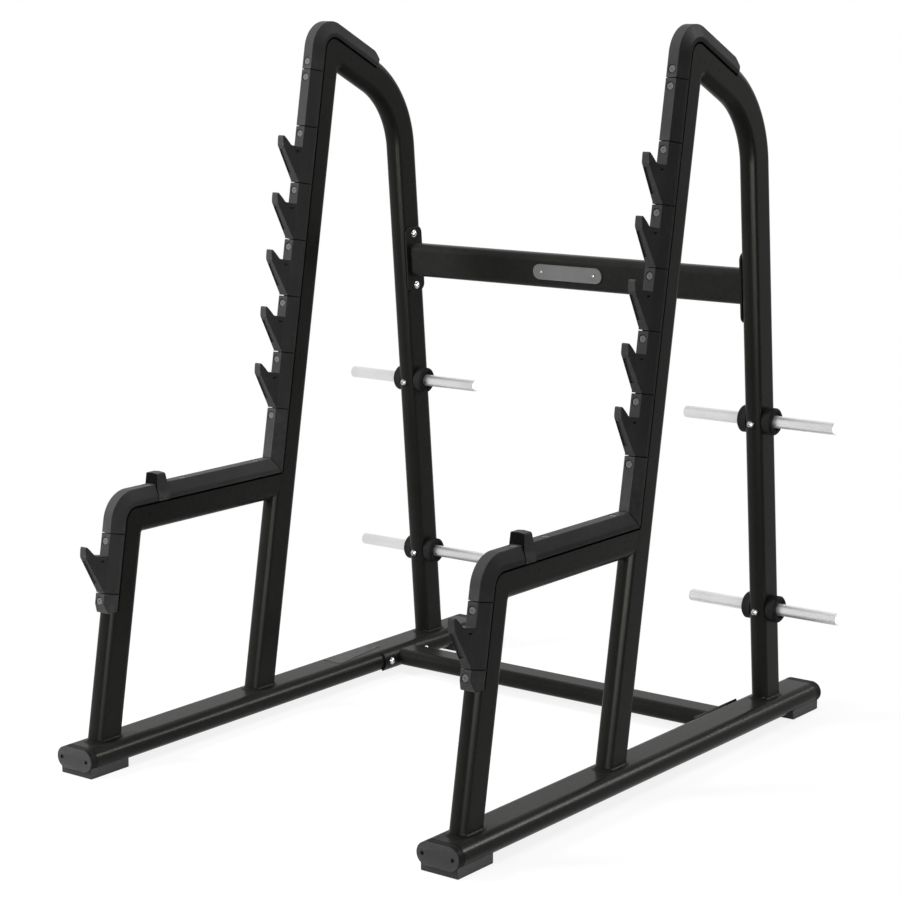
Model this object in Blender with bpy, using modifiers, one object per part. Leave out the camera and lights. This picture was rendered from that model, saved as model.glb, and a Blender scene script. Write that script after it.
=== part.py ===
"""Open squat rack for a training room.

Two matching side frames of flat-oval steel tube stand on rubber feet, joined at the back by a
leaning crossbeam and a low cross tube. Moulded guards clip over the front of the tubes and
carry the bar hooks, and brushed horns for spare discs pass through the rear uprights.

The rack stands on z = 0, faces -Y and is centred on the origin. Sizes are metres and radians.
A side frame lies in a plane of constant x. Its tubes are followed up the front, over the top
and down the back, and the outer side of a tube is on the left of that way round.
"""

import math
from collections import namedtuple

import bmesh
import bpy
from mathutils import Matrix, Vector

# Overall layout
FRAME_SPACING = 1.150
RACK_LENGTH = 1.660

# Base rail, a flat-oval tube lying flat
RAIL_WIDTH = 0.1185
RAIL_HEIGHT = 0.057
RAIL_MID_HEIGHT = 0.045

# Frame tube, a flat oval that stands deeper than it is wide
TUBE_WIDTH = 0.048
TUBE_DEPTH = 0.097
WALL = 0.003
INNER_CORNER_RADIUS = 0.003

# Where the axis of each leaning tube meets the middle of the rail, and how far it leans
MAIN_FOOT_Y = -0.1365
MAIN_LEAN = math.radians(10.0)
POST_FOOT_Y = -0.7280
POST_LEAN = math.radians(10.0)
REAR_FOOT_Y = 0.6297
REAR_LEAN = math.radians(5.05)

# Safety arm, top corner and rear bend
ARM_HEIGHT = 0.637
TOP_CORNER_HEIGHT = 1.8036
TOP_FALL = math.radians(25.74)
BEND_RADIUS = 0.248

# Guard section: a flat strip, a bevel each side and a lip down to the tube's flat side
GUARD_THICKNESS = 0.018
GUARD_LIP = 0.002
STRIP_HALF_WIDTH = 0.0148
BEVEL_FOOT_RISE = 0.0115
GUARD_CORNER_RADIUS = 0.080

# Guard lengths along the tubes
HOOK_PITCH = 0.1524
HOOK_COUNT = 5
TOP_SEAM_DROP = 0.0782
FRONT_SEAM_DROP = 0.0450
TOP_GUARD_RUN = 0.1836
GUARD_END_LENGTH = 0.0257
NOSE_LENGTH = 0.0250
NOSE_START_SLOPE = 0.35
END_NOSE_START_SLOPE = 0.64
NOSE_TIP_THICKNESS = 0.0018
NOSE_LIP_LENGTH = 0.0174

# Bar hook, measured out from the tube's axis and up from the guard's lower seam
HOOK_WIDTH = 0.0290
HOOK_TIP_WIDTH = 0.0210
HOOK_START = 0.0040
HOOK_BREAK = (0.1380, 0.0890)
HOOK_TIP = (0.1450, 0.1245)
HOOK_TIP_RADIUS = 0.006
SADDLE_HEIGHT = 0.0955
SADDLE_OUT = 0.1087
SLOT_WIDTH = 0.0175
SLOT_OFFSET = -0.0045
SLOT_DEPTH = 0.008
SLOT_BOTTOM = 0.0225
SLOT_TOP = 0.0815
POCKET_DEPTH = 0.003
POCKET = ((0.0925, 0.0842), (0.0735, 0.0842), (0.0828, 0.0780))

# Stop block strapped over the safety arm's guard
STOP_Y = -0.5125
STOP_LENGTH = 0.034
STOP_HEIGHT = 0.7285
STOP_CROWN = 0.0020
STOP_TOP_HALF_WIDTH = 0.0187
STOP_BOTTOM_HALF_WIDTH = 0.0205
STRAP_THICKNESS = 0.0015
STOP_FRONT_SLOPE = 0.004
STOP_REAR_SLOPE = 0.009

# Crossbeam between the rear uprights
BEAM_HEIGHT = 1.191
BEAM_DEPTH = 0.050
BEAM_TALL = 0.0938
BEAM_CORNER_RADIUS = 0.020
BEAM_WALL = 0.003
BEAM_PLATE_SIZE = (0.006, 0.073, 0.185)
BEAM_PLATE_RADIUS = 0.020
BADGE_SIZE = (0.224, 0.004, 0.042)
BADGE_RADIUS = 0.019

# Cross tube between the rails, a frame tube lying flat with a saddle plate on each rail
CROSS_TUBE_Y = 0.450
SADDLE_PLATE_LENGTH = 0.214
SADDLE_PLATE_THICKNESS = 0.006
SADDLE_PLATE_REACH = math.radians(55.0)

# Disc horns and the collars where they leave the upright
HORN_RADIUS = 0.016
HORN_REACH = 0.226
HORN_CHAMFER = 0.003
UPPER_HORN_HEIGHT = 0.8386
LOWER_HORN_HEIGHT = 0.325
COLLAR_RADIUS = 0.0357
COLLAR_STAND = 0.027
COLLAR_CHAMFER = 0.0045
COLLAR_RECESS_RADIUS = 0.0245
COLLAR_RECESS_DEPTH = 0.004

# Rail caps and feet
CAP_DEPTH = 0.025
CAP_EDGE = 0.001
CAP_FACE_THICKNESS = 0.004
CAP_GROOVE_WIDTH = 0.0012
CAP_GROOVE_DEPTH = 0.0015
CAP_SPIGOT_LENGTH = 0.020
CAP_SCREW_SPREAD = 0.0425
CAP_SCREW_RADIUS = 0.0050
CAP_SCREW_DEPTH = 0.003
FOOT_WIDTH = 0.107
FOOT_LENGTH = 0.134
FOOT_INSET = 0.007
FOOT_EDGE_RADIUS = 0.004

# Clearances: between pieces that touch on the real rack, and round a horn in its hole
GAP = 0.0003
HORN_FIT = 0.0004

# How finely rounded shapes are divided
HALF_ROUND_STEPS = 6
CORNER_STEPS = 4
BEND_STEPS = 8
EDGE_STEPS = 4
TURNED_STEPS = 20
NOSE_STEPS = 4

# Worked out from the sizes above
RAIL_TOP = RAIL_MID_HEIGHT + RAIL_HEIGHT / 2
RAIL_FLAT_HALF = (RAIL_WIDTH - RAIL_HEIGHT) / 2
FLAT_HALF = (TUBE_DEPTH - TUBE_WIDTH) / 2
GUARD_OUT = TUBE_DEPTH / 2 + GUARD_THICKNESS
GUARD_HALF_WIDTH = TUBE_WIDTH / 2 + GUARD_LIP
BEVEL_FOOT_OUT = FLAT_HALF + BEVEL_FOOT_RISE
COLLAR_FACE = TUBE_WIDTH / 2 + COLLAR_STAND
CORNER_DROP = GUARD_CORNER_RADIUS - GUARD_OUT
ACROSS = Vector((1.0, 0.0, 0.0))
LIFTED_OUTLINE = Matrix(((0, 0, 1, 0), (1, 0, 0, 0), (0, 1, 0, 0), (0, 0, 0, 1)))

Station = namedtuple("Station", "outer outer_way inner inner_way")
Look = namedtuple("Look", "colour roughness metallic")

BLACK_PAINT = Look((0.012, 0.012, 0.011), 0.38, 0.0)
GUARD_PLASTIC = Look((0.040, 0.041, 0.042), 0.55, 0.0)
STOP_RUBBER = Look((0.022, 0.022, 0.023), 0.60, 0.0)
CAP_PLASTIC = Look((0.062, 0.062, 0.062), 0.60, 0.0)
FOOT_RUBBER = Look((0.045, 0.045, 0.045), 0.70, 0.0)
BRUSHED_STEEL = Look((0.55, 0.55, 0.54), 0.30, 1.0)
BADGE_METAL = Look((0.13, 0.13, 0.13), 0.40, 0.8)


def turned(direction, angle):
    """A direction in the frame's plane, turned from +Y towards +Z by an angle."""
    return Matrix.Rotation(angle, 3, "X") @ direction


class Leg:
    """A straight stretch of tube: a point on its axis, the way it runs and its outer side."""

    def __init__(self, y, z, angle):
        self.start = Vector((0.0, y, z))
        self.angle = angle
        self.along = turned(Vector((0.0, 1.0, 0.0)), angle)
        self.out = turned(self.along, math.pi / 2)

    def at(self, distance):
        return self.start + self.along * distance

    def reach(self, point):
        """How far along the leg a point lies."""
        return (point - self.start).dot(self.along)

    def at_height(self, height):
        return self.at((height - self.start.z) / self.along.z)

    def station(self, distance):
        middle = self.at(distance)
        return Station(middle + self.out * FLAT_HALF, self.out, middle - self.out * FLAT_HALF, -self.out)

    def upright_frame(self, distance):
        """Places a shape that was made standing on its origin with its outer side facing -Y."""
        turn = Matrix.Rotation(self.angle - math.pi / 2, 4, "X")
        return Matrix.Translation(self.at(distance)) @ turn


class Corner:
    """Two legs that meet in a mitre, with the centres of its outer and inner roundings."""

    def __init__(self, first, second):
        self.turn = first.angle - second.angle
        self.point = crossing(first, second)
        middle = (first.out + second.out).normalized() / math.cos(self.turn / 2)
        self.outer_centre = self.point - middle * CORNER_DROP
        self.inner_centre = self.point - middle * (TUBE_DEPTH / 2 + INNER_CORNER_RADIUS)

    def half(self, leg, sense):
        """Stations from the straight leg to the mitre: sense is -1 on the first leg, 1 on the second."""
        stations = [leg.station(leg.reach(self.inner_centre))]
        for step in range(CORNER_STEPS + 1):
            outer_way = turned(leg.out, sense * self.turn / 2 * step / CORNER_STEPS)
            inner_way = turned(leg.out, sense * self.turn / 2 * (step + 1) / (CORNER_STEPS + 1))
            outer = self.outer_centre + outer_way * (FLAT_HALF + CORNER_DROP)
            inner = self.inner_centre + inner_way * (INNER_CORNER_RADIUS + TUBE_WIDTH / 2)
            stations.append(Station(outer, outer_way, inner, -inner_way))
        clear = turned(leg.along, sense * self.turn / 2) * sense * GAP / 2
        last = stations.pop()
        stations.append(last._replace(outer=last.outer + clear, inner=last.inner + clear))
        return stations


def crossing(first, second):
    """The point where the axes of two legs cross."""
    between = second.start - first.start
    return first.at(between.dot(second.out) / first.along.dot(second.out))


def leaning_leg(foot_y, lean):
    """A leg that rises from the middle of the rail and leans back."""
    return Leg(foot_y, RAIL_MID_HEIGHT, math.pi / 2 - lean)


def falling_leg(foot_y, lean):
    """A leg that comes down to the middle of the rail, further back at its foot."""
    return Leg(foot_y, RAIL_MID_HEIGHT, lean - math.pi / 2)


def side_frame_legs():
    """The straight stretches of a side frame and its two mitred corners."""
    main = leaning_leg(MAIN_FOOT_Y, MAIN_LEAN)
    post = leaning_leg(POST_FOOT_Y, POST_LEAN)
    rear = falling_leg(REAR_FOOT_Y, REAR_LEAN)
    arm_start = post.at_height(ARM_HEIGHT)
    arm = Leg(arm_start.y, arm_start.z, 0.0)
    top_start = main.at_height(TOP_CORNER_HEIGHT)
    top_run = Leg(top_start.y, top_start.z, -TOP_FALL)
    return main, post, rear, arm, top_run, Corner(main, top_run), Corner(post, arm)


MAIN, POST, REAR, ARM, TOP_RUN, TOP_CORNER, FRONT_CORNER = side_frame_legs()


# Mesh helpers


def clear_scene():
    for obj in list(bpy.data.objects):
        bpy.data.objects.remove(obj, do_unlink=True)


def new_collection(name):
    collection = bpy.data.collections.new(name)
    bpy.context.scene.collection.children.link(collection)
    return collection


def finished(bm, name):
    """Turns worked geometry into a mesh whose faces point out."""
    bmesh.ops.recalc_face_normals(bm, faces=bm.faces)
    mesh = bpy.data.meshes.new(name)
    bm.to_mesh(mesh)
    bm.free()
    return mesh


def bench_object(data):
    """A guide object that a shape is worked on with, left out of the render."""
    obj = bpy.data.objects.new(data.name, data)
    obj.hide_render = True
    obj.display_type = "WIRE"
    bpy.data.collections["cutters"].objects.link(obj)
    return obj


def settled(obj):
    """The mesh of an object with its modifiers worked out, its loose seams welded and the object gone."""
    depsgraph = bpy.context.evaluated_depsgraph_get()
    mesh = bpy.data.meshes.new_from_object(obj.evaluated_get(depsgraph))
    mesh.name = obj.name
    mesh.transform(obj.matrix_world)
    bpy.data.objects.remove(obj, do_unlink=True)
    bm = bmesh.new()
    bm.from_mesh(mesh)
    bmesh.ops.remove_doubles(bm, verts=bm.verts, dist=0.00001)
    return finished(bm, mesh.name)


def combined(mesh, operation, *tools):
    """A mesh joined with or cut by others."""
    obj = bench_object(mesh)
    helpers = [bench_object(tool) for tool in tools]
    for helper in helpers:
        modifier = obj.modifiers.new(helper.name, "BOOLEAN")
        modifier.operation = operation
        modifier.object = helper
    result = settled(obj)
    for helper in helpers:
        bpy.data.objects.remove(helper, do_unlink=True)
    return result


def moved(mesh, matrix):
    mesh.transform(matrix)
    return mesh


def skin(bm, rings):
    """Joins each ring of points to the next with four-sided faces."""
    loops = [[bm.verts.new(point) for point in ring] for ring in rings]
    for near, far in zip(loops, loops[1:]):
        for index in range(len(near)):
            following = (index + 1) % len(near)
            bm.faces.new((near[index], near[following], far[following], far[index]))
    return loops


def solid_loft(name, rings):
    bm = bmesh.new()
    loops = skin(bm, rings)
    bm.faces.new(loops[0])
    bm.faces.new(loops[-1])
    return finished(bm, name)


def hollow_loft(name, outer_rings, inner_rings):
    """A tube with open ends: its outer and inner skins, closed to each other at both ends."""
    bm = bmesh.new()
    outer = skin(bm, outer_rings)
    inner = skin(bm, inner_rings)
    for outer_loop, inner_loop in ((outer[0], inner[0]), (outer[-1], inner[-1])):
        for index in range(len(outer_loop)):
            following = (index + 1) % len(outer_loop)
            near = (outer_loop[index], outer_loop[following])
            bm.faces.new((*near, inner_loop[following], inner_loop[index]))
    return finished(bm, name)


def rounded_bar(name, size, radius, axis):
    """A block whose four edges along one axis are rounded."""
    bm = bmesh.new()
    bmesh.ops.create_cube(bm, size=1.0, matrix=Matrix.Diagonal((*size, 1.0)))
    edges = [e for e in bm.edges if abs((e.verts[1].co - e.verts[0].co).normalized()[axis]) > 0.9]
    bmesh.ops.bevel(
        bm, geom=edges, offset=radius, segments=EDGE_STEPS, profile=0.5, affect="EDGES", clamp_overlap=True
    )
    return finished(bm, name)


def side_prism(name, outline, width):
    """A flat outline of (y, z) points, thickened evenly across the frame."""
    curve = bpy.data.curves.new(name, "CURVE")
    curve.dimensions = "2D"
    curve.fill_mode = "BOTH"
    curve.extrude = width / 2
    spline = curve.splines.new("POLY")
    spline.points.add(len(outline) - 1)
    spline.use_cyclic_u = True
    for point, (y, z) in zip(spline.points, outline):
        point.co = (y, z, 0.0, 1.0)
    obj = bench_object(curve)
    obj.matrix_world = LIFTED_OUTLINE
    return settled(obj)


def rod_across(name, radius, length, centre):
    """A round rod lying across the frame."""
    bm = bmesh.new()
    bmesh.ops.create_cone(
        bm, cap_ends=True, segments=TURNED_STEPS, radius1=radius, radius2=radius, depth=length
    )
    place = Matrix.Translation(centre) @ Matrix.Rotation(math.pi / 2, 4, "Y")
    bmesh.ops.transform(bm, matrix=place, verts=bm.verts)
    return finished(bm, name)


def turned_piece(name, profile, bored):
    """A profile of (radius, x) pairs turned about the X axis, closed on itself if it is bored."""
    mesh = bpy.data.meshes.new(name)
    links = [(index, index + 1) for index in range(len(profile) - 1)]
    if bored:
        links.append((len(profile) - 1, 0))
    mesh.from_pydata([(radius, 0.0, x) for radius, x in profile], links, [])
    obj = bench_object(mesh)
    screw = obj.modifiers.new("turning", "SCREW")
    screw.steps = TURNED_STEPS
    screw.render_steps = TURNED_STEPS
    screw.use_merge_vertices = True
    screw.merge_threshold = 0.00001
    return moved(settled(obj), Matrix.Rotation(math.pi / 2, 4, "Y"))


def rounded_corner(before, corner, after, radius, steps):
    """Points of the arc that rounds one corner of an outline."""
    back = (before - corner).normalized()
    ahead = (after - corner).normalized()
    half = back.angle(ahead) / 2
    centre = corner + (back + ahead).normalized() * radius / math.sin(half)
    first = (corner + back * radius / math.tan(half) - centre).normalized()
    last = (corner + ahead * radius / math.tan(half) - centre).normalized()
    return [centre + first.slerp(last, step / steps) * radius for step in range(steps + 1)]


def slid(ring, along, plane_point, plane_normal):
    """Points moved along a tube until they lie in a cutting plane."""
    rise = along.dot(plane_normal)
    return [p + along * ((plane_point - p).dot(plane_normal) / rise) for p in ring]


# Frame tubes


def oval_ring(station, inset):
    """The tube's section at a station, or that of its bore: two half rounds and two flat sides."""
    radius = TUBE_WIDTH / 2 - inset
    ring = []
    for centre, way, side in (
        (station.outer, station.outer_way, radius),
        (station.inner, station.inner_way, -radius),
    ):
        for step in range(HALF_ROUND_STEPS + 1):
            angle = math.pi * step / HALF_ROUND_STEPS
            ring.append(centre + ACROSS * side * math.cos(angle) + way * radius * math.sin(angle))
    return ring


def frame_tube(name, stations, foot_leg=None):
    """A frame tube through its stations. The first one can stand on the rail."""
    skins = []
    for inset in (0.0, WALL):
        rings = [oval_ring(station, inset) for station in stations]
        if foot_leg:
            seat = Vector((0.0, 0.0, RAIL_TOP + GAP))
            rings[0] = slid(rings[0], foot_leg.along, seat, Vector((0.0, 0.0, 1.0)))
        skins.append(rings)
    return hollow_loft(name, *skins)


def main_upright():
    return frame_tube("main_upright", [MAIN.station(0.0), *TOP_CORNER.half(MAIN, -1)], MAIN)


def front_post():
    return frame_tube("front_post", [POST.station(0.0), *FRONT_CORNER.half(POST, -1)], POST)


def bend_stations():
    """Stations round the rear bend, from the rear leg's end to the top run's."""
    corner = crossing(TOP_RUN, REAR)
    turn = TOP_RUN.angle - REAR.angle
    bend_start = TOP_RUN.reach(corner) - BEND_RADIUS * math.tan(turn / 2)
    centre = TOP_RUN.at(bend_start) - TOP_RUN.out * BEND_RADIUS
    stations = []
    for step in range(BEND_STEPS + 1):
        way = turned(REAR.out, turn * step / BEND_STEPS)
        outer = centre + way * (BEND_RADIUS + FLAT_HALF)
        inner = centre + way * (BEND_RADIUS - FLAT_HALF)
        stations.append(Station(outer, way, inner, -way))
    return stations


def rear_upright():
    """The bent tube behind the top corner, with a cross hole for each horn."""
    stations = [REAR.station(0.0), *bend_stations(), *TOP_CORNER.half(TOP_RUN, 1)]
    tube = frame_tube("rear_upright", stations, REAR)
    holes = [
        rod_across("horn_hole", HORN_RADIUS + HORN_FIT, TUBE_WIDTH * 2, REAR.at_height(height))
        for height in (UPPER_HORN_HEIGHT, LOWER_HORN_HEIGHT)
    ]
    return combined(tube, "DIFFERENCE", *holes)


def safety_arm():
    """The arm's tube, whose far end is coped round the front of the main upright."""
    upright_axis = ARM.reach(MAIN.at_height(ARM_HEIGHT))
    tube = frame_tube("safety_arm", [ARM.station(upright_axis), *FRONT_CORNER.half(ARM, 1)])
    reach = MAIN.reach(MAIN.at_height(ARM_HEIGHT))
    past = (reach - TUBE_DEPTH, reach + TUBE_DEPTH)
    cope = solid_loft("arm_cope", [oval_ring(MAIN.station(distance), -GAP) for distance in past])
    return combined(tube, "DIFFERENCE", cope)


# Base rails, caps and feet


def lying_oval(flat_half, radius):
    """Points once round a flat oval that lies flat, as (across, up) pairs from its middle."""
    points = []
    for side in (1, -1):
        for step in range(HALF_ROUND_STEPS + 1):
            angle = math.pi * step / HALF_ROUND_STEPS
            across = side * (flat_half + radius * math.sin(angle))
            points.append((across, side * radius * math.cos(angle)))
    return points


def rail_ring(y, inset):
    """The rail's section at one place along it, drawn in by an inset."""
    oval = lying_oval(RAIL_FLAT_HALF, RAIL_HEIGHT / 2 - inset)
    return [Vector((across, y, RAIL_MID_HEIGHT + up)) for across, up in oval]


def base_rail():
    end = RACK_LENGTH / 2 - CAP_DEPTH - GAP
    skins = [[rail_ring(y, inset) for y in (-end, end)] for inset in (0.0, WALL)]
    return hollow_loft("base_rail", *skins)


def rail_cap():
    """A moulded cap: its face, a groove behind it, a collar as deep as shows and a spigot."""
    front = -RACK_LENGTH / 2
    groove = front + CAP_FACE_THICKNESS
    collar = groove + CAP_GROOVE_WIDTH
    seat = front + CAP_DEPTH
    steps = (
        (front, CAP_EDGE),
        (front + CAP_EDGE, 0.0),
        (groove, 0.0),
        (groove, CAP_GROOVE_DEPTH),
        (collar, CAP_GROOVE_DEPTH),
        (collar, 0.0),
        (seat, 0.0),
        (seat, WALL + GAP),
        (seat + CAP_SPIGOT_LENGTH, WALL + GAP),
    )
    cap = solid_loft("rail_cap", [rail_ring(y, inset) for y, inset in steps])
    recesses = []
    for side in (-1, 1):
        bm = bmesh.new()
        bmesh.ops.create_cone(
            bm,
            cap_ends=True,
            segments=TURNED_STEPS // 2,
            radius1=CAP_SCREW_RADIUS,
            radius2=CAP_SCREW_RADIUS,
            depth=2 * CAP_SCREW_DEPTH,
        )
        centre = (side * CAP_SCREW_SPREAD, front, RAIL_MID_HEIGHT)
        place = Matrix.Translation(centre) @ Matrix.Rotation(math.pi / 2, 4, "X")
        bmesh.ops.transform(bm, matrix=place, verts=bm.verts)
        recesses.append(finished(bm, "screw_recess"))
    return combined(cap, "DIFFERENCE", *recesses)


def rail_foot():
    """A rubber block that hugs the underside of the rail's front end."""
    block = rounded_bar(
        "rail_foot", (FOOT_WIDTH, FOOT_LENGTH, RAIL_MID_HEIGHT), FOOT_EDGE_RADIUS, axis=2
    )
    middle_y = -RACK_LENGTH / 2 + FOOT_INSET + FOOT_LENGTH / 2
    moved(block, Matrix.Translation((0.0, middle_y, RAIL_MID_HEIGHT / 2)))
    past = (middle_y - FOOT_LENGTH, middle_y + FOOT_LENGTH)
    rail = solid_loft("rail_clearance", [rail_ring(y, -GAP) for y in past])
    return combined(block, "DIFFERENCE", rail)


# Guards


def guard_section():
    """Half width and distance out from the tube's axis, once round the guard's section."""
    bore = TUBE_WIDTH / 2 + GAP
    section = [
        (GUARD_HALF_WIDTH, FLAT_HALF),
        (GUARD_HALF_WIDTH, BEVEL_FOOT_OUT),
        (STRIP_HALF_WIDTH, GUARD_OUT),
        (-STRIP_HALF_WIDTH, GUARD_OUT),
        (-GUARD_HALF_WIDTH, BEVEL_FOOT_OUT),
        (-GUARD_HALF_WIDTH, FLAT_HALF),
    ]
    for step in range(HALF_ROUND_STEPS + 1):
        angle = math.pi * step / HALF_ROUND_STEPS
        section.append((-bore * math.cos(angle), FLAT_HALF + bore * math.sin(angle)))
    return section


def guard_start(bm):
    """The guard's section as a face, standing at the origin and facing -Y."""
    return bm.faces.new([bm.verts.new((x, -out, 0.0)) for x, out in guard_section()])


def face_of(geometry):
    return next(item for item in geometry if isinstance(item, bmesh.types.BMFace))


def with_border(face):
    return [face, *face.edges, *face.verts]


def run_on(bm, face, step):
    """Extrudes an end face by a step and returns the new end."""
    end = face_of(bmesh.ops.extrude_face_region(bm, geom=with_border(face))["geom"])
    bmesh.ops.translate(bm, verts=end.verts, vec=step)
    return end


def straight_guard(name, length):
    bm = bmesh.new()
    run_on(bm, guard_start(bm), Vector((0.0, 0.0, length)))
    return finished(bm, name)


def corner_guard(leg, seam, corner, run):
    """A guard that goes up a leg from its seam, round a corner and along the next leg.

    It is worked standing on its seam. Its run is measured from where the two axes cross.
    """
    bm = bmesh.new()
    rise = leg.reach(corner.outer_centre) - seam
    end = run_on(bm, guard_start(bm), Vector((0.0, 0.0, rise)))
    spin = bmesh.ops.spin(
        bm,
        geom=with_border(end),
        cent=(0.0, CORNER_DROP, rise),
        axis=(1.0, 0.0, 0.0),
        angle=-corner.turn,
        steps=2 * CORNER_STEPS,
    )
    tangent_step = CORNER_DROP * math.tan(corner.turn / 2)
    onward = turned(Vector((0.0, 0.0, 1.0)), -corner.turn)
    end = run_on(bm, face_of(spin["geom_last"]), onward * (run - tangent_step))
    return bm, end, onward


def nose_cutter(name, start_slope=NOSE_START_SLOPE):
    """What is cut from a guard to round its end, with the end of the flat strip at the origin.

    The strip falls faster and faster to a thin tip on the tube, and from there the end slopes
    back to the lips.
    """
    tip_out = FLAT_HALF + TUBE_WIDTH / 2 + NOSE_TIP_THICKNESS
    fall = GUARD_OUT + GAP - tip_out
    steady = start_slope * NOSE_LENGTH
    curve = []
    for step in range(NOSE_STEPS + 1):
        share = step / NOSE_STEPS
        drop = steady * share + (fall - steady) * share**2
        curve.append((-(GUARD_OUT + GAP - drop), NOSE_LENGTH * share))
    far = 2 * NOSE_LENGTH
    outline = [
        *curve,
        (-FLAT_HALF, NOSE_LIP_LENGTH),
        (-FLAT_HALF / 2, NOSE_LIP_LENGTH),
        (-FLAT_HALF / 2, far),
        (-GUARD_OUT - FLAT_HALF, far),
        (-GUARD_OUT - FLAT_HALF, 0.0),
    ]
    return side_prism(name, outline, TUBE_DEPTH)


def hook_outline():
    """Side view of a bar hook: a sloping front, a blunt rounded tip and a square saddle."""
    root_out = GUARD_OUT - (GUARD_OUT - FLAT_HALF - TUBE_WIDTH / 2) / 2
    break_point = Vector(HOOK_BREAK)
    saddle = Vector((SADDLE_OUT, SADDLE_HEIGHT))
    tip = rounded_corner(break_point, Vector(HOOK_TIP), saddle, HOOK_TIP_RADIUS, EDGE_STEPS)
    outline = [
        Vector((root_out, HOOK_START)),
        Vector((GUARD_OUT, HOOK_START)),
        break_point,
        *tip,
        saddle,
        Vector((root_out, SADDLE_HEIGHT)),
    ]
    return [(-out, up) for out, up in outline]


def hook_slot():
    """The slot in the hook's sloping front, nearer to its -X side."""
    foot = Vector((GUARD_OUT, HOOK_START))
    front = Vector(HOOK_BREAK) - foot
    low, high = (foot + front * (up - HOOK_START) / front.y for up in (SLOT_BOTTOM, SLOT_TOP))
    inward = Vector((-front.y, front.x)).normalized() * SLOT_DEPTH
    outline = [low - inward, low + inward, high + inward, high - inward]
    slot = side_prism("hook_slot", [(-out, up) for out, up in outline], SLOT_WIDTH)
    return moved(slot, Matrix.Translation((SLOT_OFFSET, 0.0, 0.0)))


def bar_hook():
    """A bar hook with its slot and side pockets, narrowing evenly from the strip outward."""
    hook = side_prism("hook", hook_outline(), HOOK_WIDTH)
    pockets = []
    for side in (-1, 1):
        pocket = side_prism("hook_pocket", [(-out, up) for out, up in POCKET], 2 * POCKET_DEPTH)
        pockets.append(moved(pocket, Matrix.Translation((side * HOOK_WIDTH / 2, 0.0, 0.0))))
    hook = combined(hook, "DIFFERENCE", hook_slot(), *pockets)
    for vert in hook.vertices:
        share = (-vert.co.y - GUARD_OUT) / (HOOK_BREAK[0] - GUARD_OUT)
        vert.co.x *= 1.0 + (HOOK_TIP_WIDTH / HOOK_WIDTH - 1.0) * share
    return hook


def hook_guard():
    """A guard one pitch long with a bar hook standing out of it."""
    body = straight_guard("hook_guard", HOOK_PITCH - GAP)
    return combined(body, "UNION", bar_hook())


def top_guard():
    """The guard round the top corner, with a rounded end behind it."""
    seam = MAIN.reach(TOP_CORNER.point) - TOP_SEAM_DROP
    bm, _, onward = corner_guard(MAIN, seam, TOP_CORNER, TOP_GUARD_RUN + NOSE_LENGTH + GAP)
    turn_back = Matrix.Rotation(-TOP_CORNER.turn, 4, "X")
    crossing_point = Vector((0.0, 0.0, TOP_SEAM_DROP))
    strip_end = Matrix.Translation(crossing_point + onward * TOP_GUARD_RUN) @ turn_back
    nose = moved(nose_cutter("top_nose"), strip_end)
    return combined(finished(bm, "top_guard"), "DIFFERENCE", nose)


def guard_end():
    """The lowest guard on the front post, hanging from its seam with a rounded lower end."""
    body = straight_guard("guard_end", GUARD_END_LENGTH + NOSE_LENGTH)
    strip_end = Matrix.Translation((0.0, 0.0, GUARD_END_LENGTH))
    nose = moved(nose_cutter("end_nose", END_NOSE_START_SLOPE), strip_end)
    shape = combined(body, "DIFFERENCE", nose)
    bm = bmesh.new()
    bm.from_mesh(shape)
    bmesh.ops.scale(bm, vec=(1.0, 1.0, -1.0), verts=bm.verts)
    return finished(bm, "guard_end")


def guard_mitre():
    """A point and a normal of the plane where the arm's guard meets the main upright's."""
    upright_strip = Leg(*(MAIN.start + MAIN.out * GUARD_OUT).yz, MAIN.angle)
    arm_strip = Leg(*(ARM.start + ARM.out * GUARD_OUT).yz, ARM.angle)
    return crossing(upright_strip, arm_strip), (MAIN.along + ARM.along).normalized()


def lower_guard(bottom_seam):
    """The plain guard from the lowest hook down to the mitre with the arm's guard."""
    bm = bmesh.new()
    start = guard_start(bm)
    end = run_on(bm, start, Vector((0.0, 0.0, HOOK_PITCH)))
    to_world = MAIN.upright_frame(bottom_seam - HOOK_PITCH)
    bmesh.ops.transform(bm, matrix=to_world, verts=bm.verts)
    point, normal = guard_mitre()
    low = [v for v in bm.verts if v not in set(end.verts)]
    cut = slid([v.co for v in low], MAIN.along, point + normal * GAP / 2, normal)
    for vert, place in zip(low, cut):
        vert.co = place
    bmesh.ops.translate(bm, verts=end.verts, vec=MAIN.along * -GAP)
    return finished(bm, "lower_guard")


def arm_guard():
    """The guard from the front post's seam, round the front corner and along the arm."""
    seam = POST.reach(FRONT_CORNER.point) - FRONT_SEAM_DROP
    bm, end, _ = corner_guard(POST, seam, FRONT_CORNER, HOOK_PITCH)
    bmesh.ops.transform(bm, matrix=POST.upright_frame(seam), verts=bm.verts)
    point, normal = guard_mitre()
    cut = slid([v.co for v in end.verts], ARM.along, point - normal * GAP / 2, normal)
    for vert, place in zip(end.verts, cut):
        vert.co = place
    return finished(bm, "arm_guard")


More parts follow.
